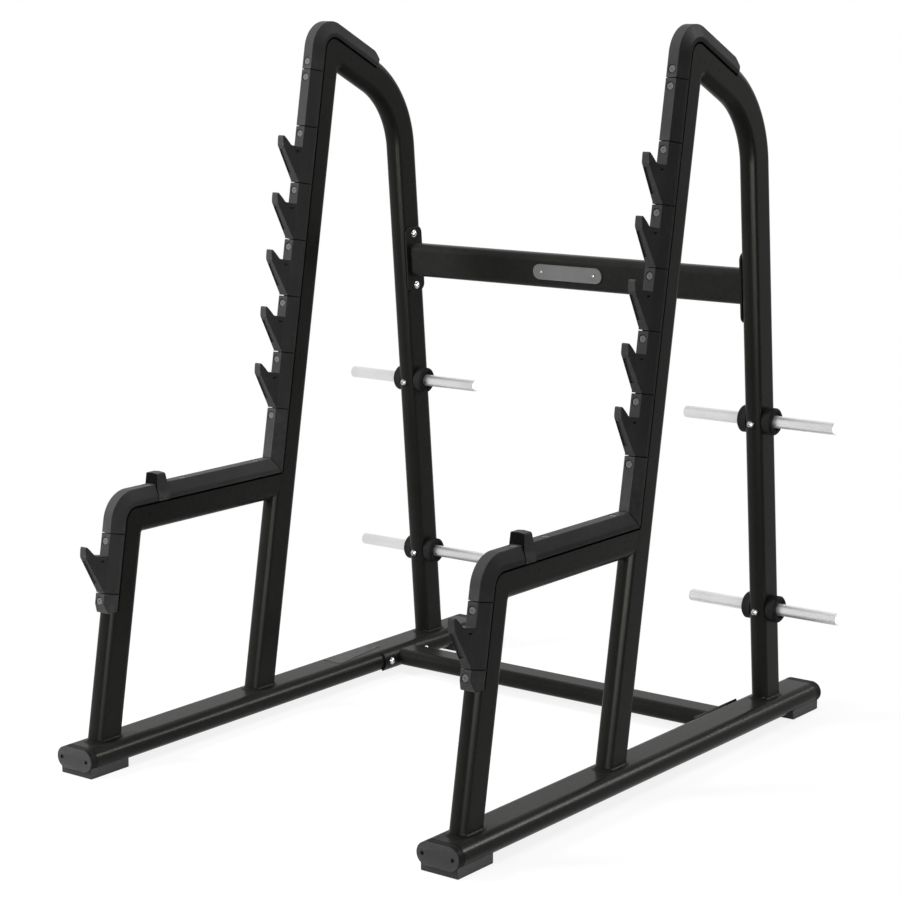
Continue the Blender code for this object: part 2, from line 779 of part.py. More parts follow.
def arm_stop():
    """A block that straddles the arm's guard on a thin strap."""
    strip_top = ARM_HEIGHT + GUARD_OUT
    bevel_foot = ARM_HEIGHT + BEVEL_FOOT_OUT
    bevel_run = (GUARD_HALF_WIDTH - STRIP_HALF_WIDTH) / (strip_top - bevel_foot)
    inside = GUARD_HALF_WIDTH + GAP
    outside = inside + STRAP_THICKNESS
    block_foot = strip_top - (STOP_BOTTOM_HALF_WIDTH - STRIP_HALF_WIDTH - STRAP_THICKNESS) / bevel_run
    half = [
        (inside, ARM_HEIGHT + FLAT_HALF),
        (outside, ARM_HEIGHT + FLAT_HALF),
        (outside, bevel_foot + GAP),
        (STOP_BOTTOM_HALF_WIDTH, block_foot),
        (STOP_TOP_HALF_WIDTH, STOP_HEIGHT),
        (0.0, STOP_HEIGHT + STOP_CROWN),
    ]
    under = [(STRIP_HALF_WIDTH + GAP, strip_top + GAP), (inside, bevel_foot + GAP)]
    outline = half + [(-x, z) for x, z in reversed(half[:-1])]
    outline += [(-x, z) for x, z in reversed(under)] + under
    bm = bmesh.new()
    start = bm.faces.new([bm.verts.new((x, STOP_Y - STOP_LENGTH / 2, z)) for x, z in outline])
    end = run_on(bm, start, Vector((0.0, STOP_LENGTH, 0.0)))
    for vert in bm.verts:
        height_share = max(0.0, (vert.co.z - strip_top) / (STOP_HEIGHT - strip_top))
        slope = -STOP_REAR_SLOPE if vert in end.verts else STOP_FRONT_SLOPE
        vert.co.y += slope * height_share
    return finished(bm, "arm_stop")


# Horns and collars


def horn():
    round_end = HORN_RADIUS - HORN_CHAMFER
    half = [(0.0, HORN_REACH), (round_end, HORN_REACH), (HORN_RADIUS, HORN_REACH - HORN_CHAMFER)]
    return turned_piece("horn", half + [(radius, -x) for radius, x in reversed(half)], bored=False)


def collar():
    """A chamfered ring on the +X side of the upright, with a recess round the horn."""
    bore = HORN_RADIUS + HORN_FIT
    recess = COLLAR_FACE - COLLAR_RECESS_DEPTH
    profile = [
        (bore, recess),
        (COLLAR_RECESS_RADIUS, recess),
        (COLLAR_RECESS_RADIUS, COLLAR_FACE),
        (COLLAR_RADIUS - COLLAR_CHAMFER, COLLAR_FACE),
        (COLLAR_RADIUS, COLLAR_FACE - COLLAR_CHAMFER),
        (COLLAR_RADIUS, TUBE_WIDTH / 2 + GAP),
        (bore, TUBE_WIDTH / 2 + GAP),
    ]
    return turned_piece("collar", profile, bored=True)


# Pieces that join the two side frames


def leaning_place(x, height, out):
    """Places a shape on the rear uprights' axis, leaning with them and moved out behind it."""
    lean = Matrix.Rotation(REAR_LEAN, 4, "X")
    centre = REAR.at_height(height) + REAR.out * out + ACROSS * x
    return Matrix.Translation(centre) @ lean


def beam_plate_x():
    return FRAME_SPACING / 2 - TUBE_WIDTH / 2 - GAP - BEAM_PLATE_SIZE[0] / 2


def crossbeam():
    length = 2 * (beam_plate_x() - BEAM_PLATE_SIZE[0] / 2 - GAP)
    bar = rounded_bar("crossbeam", (length, BEAM_DEPTH, BEAM_TALL), BEAM_CORNER_RADIUS, axis=0)
    bore_size = (length + BEAM_DEPTH, BEAM_DEPTH - 2 * BEAM_WALL, BEAM_TALL - 2 * BEAM_WALL)
    bore = rounded_bar("beam_bore", bore_size, BEAM_CORNER_RADIUS - BEAM_WALL, axis=0)
    return combined(bar, "DIFFERENCE", bore)


def crossbeam_plate():
    return rounded_bar("crossbeam_plate", BEAM_PLATE_SIZE, BEAM_PLATE_RADIUS, axis=0)


def badge():
    return rounded_bar("badge", BADGE_SIZE, BADGE_RADIUS, axis=1)


def saddle_plate(side):
    """A plate rolled round the rounded inner side of a rail."""
    inner = RAIL_HEIGHT / 2 + GAP
    centre_x = FRAME_SPACING / 2 - RAIL_FLAT_HALF
    bm = bmesh.new()
    corners = []
    for radius, y in ((inner, -1), (inner, 1), (inner + SADDLE_PLATE_THICKNESS, 1)):
        corners.append((centre_x - radius, y * SADDLE_PLATE_LENGTH / 2 + CROSS_TUBE_Y, RAIL_MID_HEIGHT))
    corners.append((corners[2][0], corners[0][1], RAIL_MID_HEIGHT))
    face = bm.faces.new([bm.verts.new(corner) for corner in corners])
    centre = (centre_x, CROSS_TUBE_Y, RAIL_MID_HEIGHT)
    lower = Matrix.Rotation(-SADDLE_PLATE_REACH, 3, "Y")
    bmesh.ops.rotate(bm, cent=centre, matrix=lower, verts=face.verts)
    bmesh.ops.spin(
        bm,
        geom=with_border(face),
        cent=centre,
        axis=(0.0, 1.0, 0.0),
        angle=2 * SADDLE_PLATE_REACH,
        steps=2 * HALF_ROUND_STEPS,
    )
    bmesh.ops.scale(bm, vec=(side, 1.0, 1.0), verts=bm.verts)
    return finished(bm, "saddle_plate")


def cross_tube_length(name, half_length, inset):
    """A length of the cross tube's section, drawn in by an inset."""
    oval = lying_oval(FLAT_HALF, TUBE_WIDTH / 2 - inset)
    rings = []
    for x in (-half_length, half_length):
        rings.append([Vector((x, CROSS_TUBE_Y + across, RAIL_MID_HEIGHT + up)) for across, up in oval])
    return solid_loft(name, rings)


def base_cross_tube():
    """The low cross tube with its two saddle plates, one welded piece with a bore right through."""
    rail_side = FRAME_SPACING / 2 - RAIL_FLAT_HALF
    plate_edge = (RAIL_HEIGHT / 2 + SADDLE_PLATE_THICKNESS) * math.cos(SADDLE_PLATE_REACH)
    bar = cross_tube_length("base_cross_tube", rail_side - plate_edge, 0.0)
    inside_plate = GAP + SADDLE_PLATE_THICKNESS / 2
    copes = []
    for side in (-1, 1):
        rings = [rail_ring(y, -inside_plate) for y in (0.0, RACK_LENGTH / 2)]
        cope = solid_loft("rail_cope", rings)
        copes.append(moved(cope, Matrix.Translation((side * FRAME_SPACING / 2, 0.0, 0.0))))
    bar = combined(bar, "DIFFERENCE", *copes)
    joined = combined(bar, "UNION", saddle_plate(-1), saddle_plate(1))
    bore = cross_tube_length("cross_bore", FRAME_SPACING / 2, WALL)
    return combined(joined, "DIFFERENCE", bore)


# Finishes and placing


def finish_material(name, look):
    material = bpy.data.materials.new(f"{name}_finish")
    material.use_nodes = True
    shader = material.node_tree.nodes["Principled BSDF"]
    shader.inputs["Base Color"].default_value = (*look.colour, 1.0)
    shader.inputs["Roughness"].default_value = look.roughness
    shader.inputs["Metallic"].default_value = look.metallic
    return material


def place_piece(name, mesh, look, matrix, parent=None):
    """Adds one sub-part to the rack with its own mesh and finish."""
    own = mesh.copy()
    own.name = name
    own.materials.clear()
    own.materials.append(finish_material(name, look))
    own.shade_smooth()
    own.set_sharp_from_angle(angle=math.radians(35.0))
    obj = bpy.data.objects.new(name, own)
    bpy.data.collections["squat_rack"].objects.link(obj)
    obj.parent = parent
    obj.matrix_basis = matrix


def side_frame_pieces():
    """Every shape of a side frame, with its finish and its place in the frame."""
    at_frame = Matrix.Identity(4)
    about_face = Matrix.Rotation(math.pi, 4, "Z")
    first_seam = MAIN.reach(TOP_CORNER.point) - TOP_SEAM_DROP
    front_seam = POST.reach(FRONT_CORNER.point) - FRONT_SEAM_DROP
    hook = hook_guard()
    cap = rail_cap()
    foot = rail_foot()
    disc_horn = horn()
    pieces = [
        ("base_rail", base_rail(), BLACK_PAINT, at_frame),
        ("front_post", front_post(), BLACK_PAINT, at_frame),
        ("safety_arm", safety_arm(), BLACK_PAINT, at_frame),
        ("main_upright", main_upright(), BLACK_PAINT, at_frame),
        ("rear_upright", rear_upright(), BLACK_PAINT, at_frame),
        ("top_guard", top_guard(), GUARD_PLASTIC, MAIN.upright_frame(first_seam)),
        ("arm_guard", arm_guard(), GUARD_PLASTIC, at_frame),
        ("arm_stop", arm_stop(), STOP_RUBBER, at_frame),
        ("front_cap", cap, CAP_PLASTIC, at_frame),
        ("rear_cap", cap, CAP_PLASTIC, about_face),
        ("front_foot", foot, FOOT_RUBBER, at_frame),
        ("rear_foot", foot, FOOT_RUBBER, about_face),
    ]
    seam = first_seam - HOOK_PITCH
    spacer = straight_guard("spacer_guard", HOOK_PITCH - GAP)
    pieces.append(("spacer_guard", spacer, GUARD_PLASTIC, MAIN.upright_frame(seam)))
    for number in range(1, HOOK_COUNT + 1):
        seam -= HOOK_PITCH
        pieces.append((f"hook_guard_{number}", hook, GUARD_PLASTIC, MAIN.upright_frame(seam)))
    pieces.append(("lower_guard", lower_guard(seam), GUARD_PLASTIC, at_frame))
    front_hook_place = POST.upright_frame(front_seam - HOOK_PITCH)
    pieces.append(("front_hook_guard", hook, GUARD_PLASTIC, front_hook_place))
    end_place = POST.upright_frame(front_seam - HOOK_PITCH - GAP)
    pieces.append(("guard_end", guard_end(), GUARD_PLASTIC, end_place))
    for level, height in (("upper", UPPER_HORN_HEIGHT), ("lower", LOWER_HORN_HEIGHT)):
        place = Matrix.Translation(REAR.at_height(height))
        pieces.append((f"{level}_horn", disc_horn, BRUSHED_STEEL, place))
    return pieces


def place_side_frame(side, toward_middle, pieces, ring):
    """Adds one side frame. Its collars are named for the side of the upright they are on."""
    frame = bpy.data.objects.new(f"{side}_frame", None)
    bpy.data.collections["squat_rack"].objects.link(frame)
    frame.location.x = -toward_middle * FRAME_SPACING / 2
    for name, mesh, look, matrix in pieces:
        place_piece(f"{side}_{name}", mesh, look, matrix, frame)
    for level, height in (("upper", UPPER_HORN_HEIGHT), ("lower", LOWER_HORN_HEIGHT)):
        for position, facing in (("inner", toward_middle), ("outer", -toward_middle)):
            turn = Matrix.Rotation(0.0 if facing > 0 else math.pi, 4, "Z")
            place = Matrix.Translation(REAR.at_height(height)) @ turn
            place_piece(f"{side}_{level}_{position}_collar", ring, BLACK_PAINT, place, frame)


def place_shared_pieces():
    place_piece("crossbeam", crossbeam(), BLACK_PAINT, leaning_place(0.0, BEAM_HEIGHT, 0.0))
    plate = crossbeam_plate()
    for side, facing in (("left", -1), ("right", 1)):
        place = leaning_place(facing * beam_plate_x(), BEAM_HEIGHT, 0.0)
        place_piece(f"crossbeam_plate_{side}", plate, BLACK_PAINT, place)
    badge_out = -(BEAM_DEPTH / 2 + GAP + BADGE_SIZE[1] / 2)
    place_piece("badge", badge(), BADGE_METAL, leaning_place(0.0, BEAM_HEIGHT, badge_out))
    place_piece("base_cross_tube", base_cross_tube(), BLACK_PAINT, Matrix.Identity(4))


def main():
    clear_scene()
    new_collection("squat_rack")
    new_collection("cutters").hide_render = True
    pieces = side_frame_pieces()
    ring = collar()
    for side, toward_middle in (("left", 1), ("right", -1)):
        place_side_frame(side, toward_middle, pieces, ring)
    place_shared_pieces()


main()
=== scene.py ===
# %% [markdown]
# # An open squat rack
#
# This lesson dresses a squat rack that was already drawn as a plain CAD model. The CAD model fixes
# where every tube, guard and horn is. Here each piece is made again with the roundings, plugs,
# bolts, welds and finishes that the eye expects, in exactly the same place.

import math

import bmesh
import bpy
from mathutils import Matrix, Vector


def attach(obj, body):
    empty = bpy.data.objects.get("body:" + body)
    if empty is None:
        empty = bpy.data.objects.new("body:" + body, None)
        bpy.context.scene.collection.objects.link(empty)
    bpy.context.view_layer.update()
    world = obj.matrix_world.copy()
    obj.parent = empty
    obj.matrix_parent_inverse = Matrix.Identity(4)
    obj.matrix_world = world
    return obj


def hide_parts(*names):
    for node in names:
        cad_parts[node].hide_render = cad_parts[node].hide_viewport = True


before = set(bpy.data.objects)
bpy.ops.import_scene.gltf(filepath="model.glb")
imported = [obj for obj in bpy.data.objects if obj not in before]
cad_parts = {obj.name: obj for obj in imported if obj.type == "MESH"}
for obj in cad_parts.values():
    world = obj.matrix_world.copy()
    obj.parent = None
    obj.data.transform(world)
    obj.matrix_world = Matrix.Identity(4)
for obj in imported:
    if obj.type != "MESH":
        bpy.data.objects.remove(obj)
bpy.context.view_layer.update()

# %% [markdown]
# ## The measures that everything shares
#
# The real frame is one kind of tube, a flat oval 48 mm wide and 97 mm deep, so its half round and
# its flat side are written once. The base rail is a larger oval that lies down.

# %% Tube and rail sizes
HALF_SPACING = 0.575
TUBE_RADIUS = 0.024
FLAT_HALF = 0.0245
RAIL_RADIUS = 0.0285
RAIL_FLAT_HALF = 0.03075
RAIL_MID = 0.045
RAIL_TOP = RAIL_MID + RAIL_RADIUS
RACK_END = 0.830
CAP_DEPTH = 0.025
GAP = 0.0003
HAIR = 0.0001
OVAL_SEGMENTS = 64
print("tube depth", 2 * (TUBE_RADIUS + FLAT_HALF), "rail top", RAIL_TOP)

# %% [markdown]
# ## Where the tubes run
#
# A side frame is drawn in one plane. Each straight run of tube has a point, an angle and an outer
# side, and a shape made standing at the origin can be stood anywhere along it. Working this way
# keeps guards and horns on the tube however it leans.


# %% A straight run of tube
def turned(direction, angle):
    """A direction in the frame's plane, turned from +Y towards +Z."""
    return Matrix.Rotation(angle, 3, "X") @ direction


class Run:
    """A straight run of tube: a point on its axis, the way it goes and its outer side."""

    def __init__(self, y, z, angle):
        self.start = Vector((0.0, y, z))
        self.angle = angle
        self.along = turned(Vector((0.0, 1.0, 0.0)), angle)
        self.out = turned(self.along, math.pi / 2)

    def at(self, distance):
        return self.start + self.along * distance

    def reach(self, point):
        return (point - self.start).dot(self.along)

    def at_height(self, height):
        return self.at((height - self.start.z) / self.along.z)

    def stand(self, distance):
        """Stands a shape on the run, with the side that it faced -Y with turned outwards."""
        turn = Matrix.Rotation(self.angle - math.pi / 2, 4, "X")
        return Matrix.Translation(self.at(distance)) @ turn


def crossing(first, second):
    """The point where two runs cross."""
    between = second.start - first.start
    return first.at(between.dot(second.out) / first.along.dot(second.out))


# %% The five runs of a side frame
LEAN = math.radians(10.0)
REAR_LEAN = math.radians(5.05)
TOP_FALL = math.radians(25.74)
ARM_HEIGHT = 0.637
TOP_CORNER_HEIGHT = 1.8036

MAIN = Run(-0.1365, RAIL_MID, math.pi / 2 - LEAN)
POST = Run(-0.7280, RAIL_MID, math.pi / 2 - LEAN)
REAR = Run(0.6297, RAIL_MID, REAR_LEAN - math.pi / 2)
ARM = Run(*POST.at_height(ARM_HEIGHT).yz, 0.0)
TOP = Run(*MAIN.at_height(TOP_CORNER_HEIGHT).yz, -TOP_FALL)
print("main upright's corner at", crossing(MAIN, TOP)[:])

# %% [markdown]
# ## Two mitred corners
#
# At the top and at the front of the arm two tubes meet in a mitre. The outside of the mitre is
# rounded over, and the inside is nearly sharp, so each corner needs two turning centres.


# %% The turning centres of a corner
GUARD_OUT = 0.0665
GUARD_CORNER_RADIUS = 0.080
INNER_CORNER_RADIUS = 0.003
CORNER_DROP = GUARD_CORNER_RADIUS - GUARD_OUT


class Corner:
    """Where two runs meet, with the centres that its outer and inner sides turn about."""

    def __init__(self, first, second):
        self.turn = first.angle - second.angle
        self.point = crossing(first, second)
        middle = (first.out + second.out).normalized() / math.cos(self.turn / 2)
        self.outer_centre = self.point - middle * CORNER_DROP
        self.inner_centre = self.point - middle * (TUBE_RADIUS + FLAT_HALF + INNER_CORNER_RADIUS)


TOP_CORNER = Corner(MAIN, TOP)
FRONT_CORNER = Corner(POST, ARM)
print("corner turns", math.degrees(TOP_CORNER.turn), math.degrees(FRONT_CORNER.turn))

# %% [markdown]
# ## Keeping a finished shape
#
# Work happens in a bmesh, and a finished bmesh becomes a mesh. Seams are merged and the faces are
# turned outwards once. Where a piece is drilled or notched on the real rack, a cutter shape is
# taken away from it with a Boolean.

# %% From a bmesh to a mesh
MERGE_DISTANCE = 0.000002


def kept(bm, name):
    """A mesh from worked geometry, with its doubles merged and its faces turned outwards."""
    bmesh.ops.remove_doubles(bm, verts=bm.verts, dist=MERGE_DISTANCE)
    bmesh.ops.recalc_face_normals(bm, faces=bm.faces)
    mesh = bpy.data.meshes.new(name)
    bm.to_mesh(mesh)
    bm.free()
    return mesh


def placed(mesh, place):
    """A copy of a mesh moved to its place."""
    copy = mesh.copy()
    copy.transform(place)
    return copy


def linked(name, data):
    """An object in the scene that shows a mesh, a lamp or a camera."""
    obj = bpy.data.objects.new(name, data)
    bpy.context.scene.collection.objects.link(obj)
    return obj


def combined(mesh, operation, *tools):
    """A mesh joined with or cut by other closed meshes."""
    bench = [linked("bench", data) for data in (mesh, *tools)]
    for tool in bench[1:]:
        cut = bench[0].modifiers.new("cut", "BOOLEAN")
        cut.operation = operation
        cut.object = tool
    finished = bench[0].evaluated_get(bpy.context.evaluated_depsgraph_get())
    result = bpy.data.meshes.new_from_object(finished)
    for obj in bench:
        bpy.data.objects.remove(obj, do_unlink=True)
    result.name = mesh.name
    return result


def tell(*meshes):
    """Prints how many faces each finished mesh has."""
    for mesh in meshes:
        print(mesh.name, "has", len(mesh.polygons), "faces")


# %% [markdown]
# ## Drawing an oval along a path
#
# A flat oval is a circle whose two halves have been moved apart. The real tube is rolled to that
# shape and then bent. In Blender the oval is a face that is extruded step by step, and each half
# remembers which side it is on, so that a corner can turn the two halves about different centres.

# %% The oval and its steps
CUT_DISTANCE = 0.000001


def oval_face(bm, radius, flat_half, place):
    """A flat-oval face: a circle whose halves are moved apart."""
    side = bm.verts.layers.int.get("side") or bm.verts.layers.int.new("side")
    half_step = Matrix.Rotation(math.pi / OVAL_SEGMENTS, 4, "Z")
    verts = bmesh.ops.create_circle(
        bm, cap_ends=True, segments=OVAL_SEGMENTS, radius=radius, matrix=half_step
    )["verts"]
    for vert in verts:
        vert[side] = 1 if vert.co.y > 0 else -1
    for half in (-1, 1):
        own = [v for v in verts if v[side] == half]
        bmesh.ops.translate(bm, vec=(0.0, half * flat_half, 0.0), verts=own)
    bmesh.ops.transform(bm, matrix=place, verts=verts)
    return verts[0].link_faces[0]


def halves(bm, face):
    """The outer and the inner half of an oval's corners."""
    side = bm.verts.layers.int.get("side")
    return [[v for v in face.verts if v[side] == half] for half in (-1, 1)]


def pushed(bm, face, step=(0.0, 0.0, 0.0)):
    """Extrudes an end face by a step and returns the new end."""
    made = bmesh.ops.extrude_face_region(bm, geom=[face, *face.edges, *face.verts])["geom"]
    end = next(item for item in made if isinstance(item, bmesh.types.BMFace))
    bmesh.ops.translate(bm, verts=end.verts, vec=step)
    return end


def swept(bm, face, centre, axis, angle, steps):
    """Spins an end face about an axis and returns the new end."""
    made = bmesh.ops.spin(
        bm, geom=[face, *face.edges, *face.verts], cent=centre, axis=axis, angle=angle, steps=steps
    )["geom_last"]
    return next(item for item in made if isinstance(item, bmesh.types.BMFace))


def cut_level(bm, point, normal):
    """Cuts a shape by a plane, throws away what is behind it and closes the cut."""
    every = [*bm.verts, *bm.edges, *bm.faces]
    cut = bmesh.ops.bisect_plane(
        bm, geom=every, plane_co=point, plane_no=normal, clear_inner=True, dist=CUT_DISTANCE
    )["geom_cut"]
    rim = [item for item in cut if isinstance(item, bmesh.types.BMEdge)]
    bmesh.ops.contextual_create(bm, geom=rim)
    return rim


# %% [markdown]
# ## Turning a tube into a corner
#
# Up to the inner centre the tube is straight. From there its inner half creeps round a tiny
# radius while the outer half runs on and then sweeps round a big one, and both end in the mitre.

# %% Half of a mitred corner
CORNER_STEPS = 12
print("each step turns", math.degrees(TOP_CORNER.turn) / 2 / CORNER_STEPS, "degrees")


def into_corner(bm, face, run, corner, sense):
    """Carries a tube from its straight run to the mitre. Sense is -1 before it and 1 after it."""
    face = pushed(bm, face, run.at(run.reach(corner.inner_centre)) - run.at(reach_of(run, face)))
    run_on = run.at(run.reach(corner.outer_centre)) - run.at(run.reach(corner.inner_centre))
    inner_turn = Matrix.Rotation(sense * corner.turn / 2 / (CORNER_STEPS + 1), 3, "X")
    outer_turn = Matrix.Rotation(sense * corner.turn / 2 / CORNER_STEPS, 3, "X")
    for step in range(CORNER_STEPS + 1):
        face = pushed(bm, face)
        outer, inner = halves(bm, face)
        bmesh.ops.rotate(bm, cent=corner.inner_centre, matrix=inner_turn, verts=inner)
        if step == 0:
            bmesh.ops.translate(bm, vec=run_on, verts=outer)
        else:
            bmesh.ops.rotate(bm, cent=corner.outer_centre, matrix=outer_turn, verts=outer)
    bmesh.ops.translate(bm, vec=run.along * sense * GAP / 2, verts=face.verts)
    return face


def reach_of(run, face):
    """How far along a run a square end face is."""
    return run.reach(face.calc_center_median())


# %% [markdown]
# ## Welding on the rail
#
# The uprights are welded on top of the rail. Each starts as an oval below the rail's top and is
# cut level there, which gives the long slanting footprint that a leaning tube has.


# %% Main upright and front post
def leaning_tube(name, run, corner):
    bm = bmesh.new()
    face = oval_face(bm, TUBE_RADIUS, FLAT_HALF, run.stand(0.0))
    into_corner(bm, face, run, corner, -1)
    cut_level(bm, (0.0, 0.0, RAIL_TOP + GAP), (0.0, 0.0, 1.0))
    return kept(bm, name)


main_upright = leaning_tube("main_upright", MAIN, TOP_CORNER)
front_post = leaning_tube("front_post", POST, FRONT_CORNER)
tell(main_upright, front_post)

# %% [markdown]
# ## The bent rear upright
#
# One long tube falls from the top corner, goes round a wide bend and comes down to the rail. A
# tube bender turns it about one centre, and the spin operator does the same with the oval face.

# %% Rear upright
BEND_RADIUS = 0.248
BEND_STEPS = 40


def bent_tube():
    bend_turn = TOP.angle - REAR.angle
    tangent = BEND_RADIUS * math.tan(bend_turn / 2)
    rear_end = REAR.reach(crossing(TOP, REAR)) + tangent
    centre = REAR.at(rear_end) - REAR.out * BEND_RADIUS
    bm = bmesh.new()
    face = oval_face(bm, TUBE_RADIUS, FLAT_HALF, REAR.stand(0.0))
    face = pushed(bm, face, REAR.at(rear_end) - REAR.at(0.0))
    face = swept(bm, face, centre, (1.0, 0.0, 0.0), bend_turn, BEND_STEPS)
    into_corner(bm, face, TOP, TOP_CORNER, 1)
    cut_level(bm, (0.0, 0.0, RAIL_TOP + GAP), (0.0, 0.0, 1.0))
    return kept(bm, "rear_upright")


rear_upright = bent_tube()
tell(rear_upright)

# %% [markdown]
# ## The safety arm
#
# The arm catches a dropped bar. Its rear end is coped, which means cut to the round of the tube
# that it is welded to, so the upright's own oval is the cutter here.

# %% Safety arm
CUTTER_REACH = 0.12


def straight_oval(name, radius, flat_half, place, length):
    bm = bmesh.new()
    face = oval_face(bm, radius, flat_half, place)
    pushed(bm, face, place.to_3x3() @ Vector((0.0, 0.0, length)))
    return kept(bm, name)


def safety_arm_tube():
    upright_axis = MAIN.at_height(ARM_HEIGHT)
    bm = bmesh.new()
    face = oval_face(bm, TUBE_RADIUS, FLAT_HALF, ARM.stand(ARM.reach(upright_axis)))
    into_corner(bm, face, ARM, FRONT_CORNER, 1)
    low = MAIN.stand(MAIN.reach(upright_axis) - CUTTER_REACH)
    cope = straight_oval("cope", TUBE_RADIUS + GAP, FLAT_HALF, low, 2 * CUTTER_REACH)
    return combined(kept(bm, "safety_arm"), "DIFFERENCE", cope)


safety_arm = safety_arm_tube()
tell(safety_arm)

# %% [markdown]
# ## Base rail
#
# The rail is the same kind of oval, larger and lying down. Its ends stop where the caps begin.

# %% Base rail
RAIL_LYING = Matrix.Rotation(math.pi / 2, 4, "Z")


def moved(x=0.0, y=0.0, z=0.0):
    """A place that is only moved, with nothing turned."""
    return Matrix.Translation((x, y, z))


def rail_place(y):
    """Lays an oval down so that it runs along the rail from a given place."""
    upright_to_rail = Matrix.Rotation(-math.pi / 2, 4, "X")
    return moved(y=y, z=RAIL_MID) @ upright_to_rail @ RAIL_LYING


rail_end = RACK_END - CAP_DEPTH - GAP
base_rail = straight_oval(
    "base_rail", RAIL_RADIUS, RAIL_FLAT_HALF, rail_place(-rail_end), 2 * rail_end
)
print("rail length", 2 * rail_end)

# %% [markdown]
# ## Rail caps
#
# A moulded cap closes each end of the rail. It has a flat face plate, a thin groove behind it and
# a collar. Each step says how deep it goes and how far in the section sits there. It extrudes the
# oval and scales its two halves about their own centres, which keeps the section an even distance
# smaller all round. Two screws sit in shallow holes.

# %% Rail cap
CAP_EDGE = 0.0010
CAP_STEPS = (
    (0.0004, 0.0003),
    (0.0010, 0.0),
    (0.0036, 0.0),
    (0.0040, 0.0004),
    (0.0040, 0.0020),
    (0.0058, 0.0020),
    (0.0058, 0.0005),
    (0.0066, 0.0),
    (CAP_DEPTH - 0.0012, 0.0),
    (CAP_DEPTH, CAP_EDGE),
)
CAP_SCREW_SPREAD = 0.0425
CAP_SCREW_DEPTH = 0.0034
CAP_SCREW_RADIUS = 0.0053
TO_FRONT = Matrix.Rotation(math.pi / 2, 4, "X")


def narrowed(bm, face, before, after):
    """Scales both halves of a lying oval about their own centres, from one inset to another."""
    share = (RAIL_RADIUS - after) / (RAIL_RADIUS - before)
    for half in halves(bm, face):
        across = sum((v.co.x for v in half), 0.0)
        centre = Vector((math.copysign(RAIL_FLAT_HALF, across), 0.0, RAIL_MID))
        space = Matrix.Translation(-centre)
        bmesh.ops.scale(bm, vec=(share, 1.0, share), space=space, verts=half)


def round_cutter(radius, depth, place, segments=32):
    """A cylinder to cut with, or a prism where it has only a few sides."""
    bm = bmesh.new()
    bmesh.ops.create_cone(
        bm,
        cap_ends=True,
        segments=segments,
        radius1=radius,
        radius2=radius,
        depth=depth,
        matrix=place,
    )
    return kept(bm, "cutter")


def rail_cap_shape():
    bm = bmesh.new()
    face = oval_face(bm, RAIL_RADIUS - CAP_EDGE, RAIL_FLAT_HALF, rail_place(-RACK_END))
    reached, inset = 0.0, CAP_EDGE
    for depth, new_inset in CAP_STEPS:
        face = pushed(bm, face, (0.0, depth - reached, 0.0))
        narrowed(bm, face, inset, new_inset)
        reached, inset = depth, new_inset
    holes = []
    for x in (-CAP_SCREW_SPREAD, CAP_SCREW_SPREAD):
        place = moved(x, -RACK_END, RAIL_MID) @ TO_FRONT
        holes.append(round_cutter(CAP_SCREW_RADIUS, 2 * CAP_SCREW_DEPTH, place))
    return combined(kept(bm, "rail_cap"), "DIFFERENCE", *holes)


rail_cap = rail_cap_shape()
tell(rail_cap)

# %% [markdown]
# ## Rubber feet
#
# A foot is a block of rubber that hugs the underside of the rail. It starts as a cube, its four
# upright edges and its bottom edge are rounded, and the rail's own oval is cut out of its top.

# %% Foot
FOOT_SIZE = (0.107, 0.134, RAIL_MID)
FOOT_INSET = 0.007
FOOT_CORNER = 0.004
SOLE_ROUNDING = 0.0025
ALONG = 0.9
SQUARE_ON = 0.999


def soften(bm, items, radius, segments=2, affect="EDGES"):
    """Rounds edges, or corners where asked, by a radius."""
    bmesh.ops.bevel(
        bm,
        geom=list(items),
        offset=radius,
        segments=segments,
        profile=0.5,
        affect=affect,
        material=-1,
    )


def rounded_block(bm, size, radius, axis, segments=6):
    """A block whose four edges along one axis are rounded."""
    bmesh.ops.create_cube(bm, size=1.0, matrix=Matrix.Diagonal((*size, 1.0)))
    ways = [(e, (e.verts[1].co - e.verts[0].co).normalized()) for e in bm.edges]
    soften(bm, [e for e, way in ways if abs(way[axis]) > ALONG], radius, segments)


def rim_edges(bm, direction):
    """The edges round the flat faces that look one way."""
    way = Vector(direction)
    bm.normal_update()
    flat = [f for f in bm.faces if f.normal.dot(way) > SQUARE_ON]
    return {e for f in flat for e in f.edges if any(g not in flat for g in e.link_faces)}


def foot_shape():
    bm = bmesh.new()
    rounded_block(bm, FOOT_SIZE, FOOT_CORNER, axis=2)
    soften(bm, rim_edges(bm, (0.0, 0.0, -1.0)), SOLE_ROUNDING, 3)
    middle = -RACK_END + FOOT_INSET + FOOT_SIZE[1] / 2
    bmesh.ops.translate(bm, vec=(0.0, middle, RAIL_MID / 2), verts=bm.verts)
    place = rail_place(middle - CUTTER_REACH)
    rail = straight_oval("rail", RAIL_RADIUS + GAP, RAIL_FLAT_HALF, place, 2 * CUTTER_REACH)
    return combined(kept(bm, "foot"), "DIFFERENCE", rail)


rail_foot = foot_shape()
tell(rail_foot)
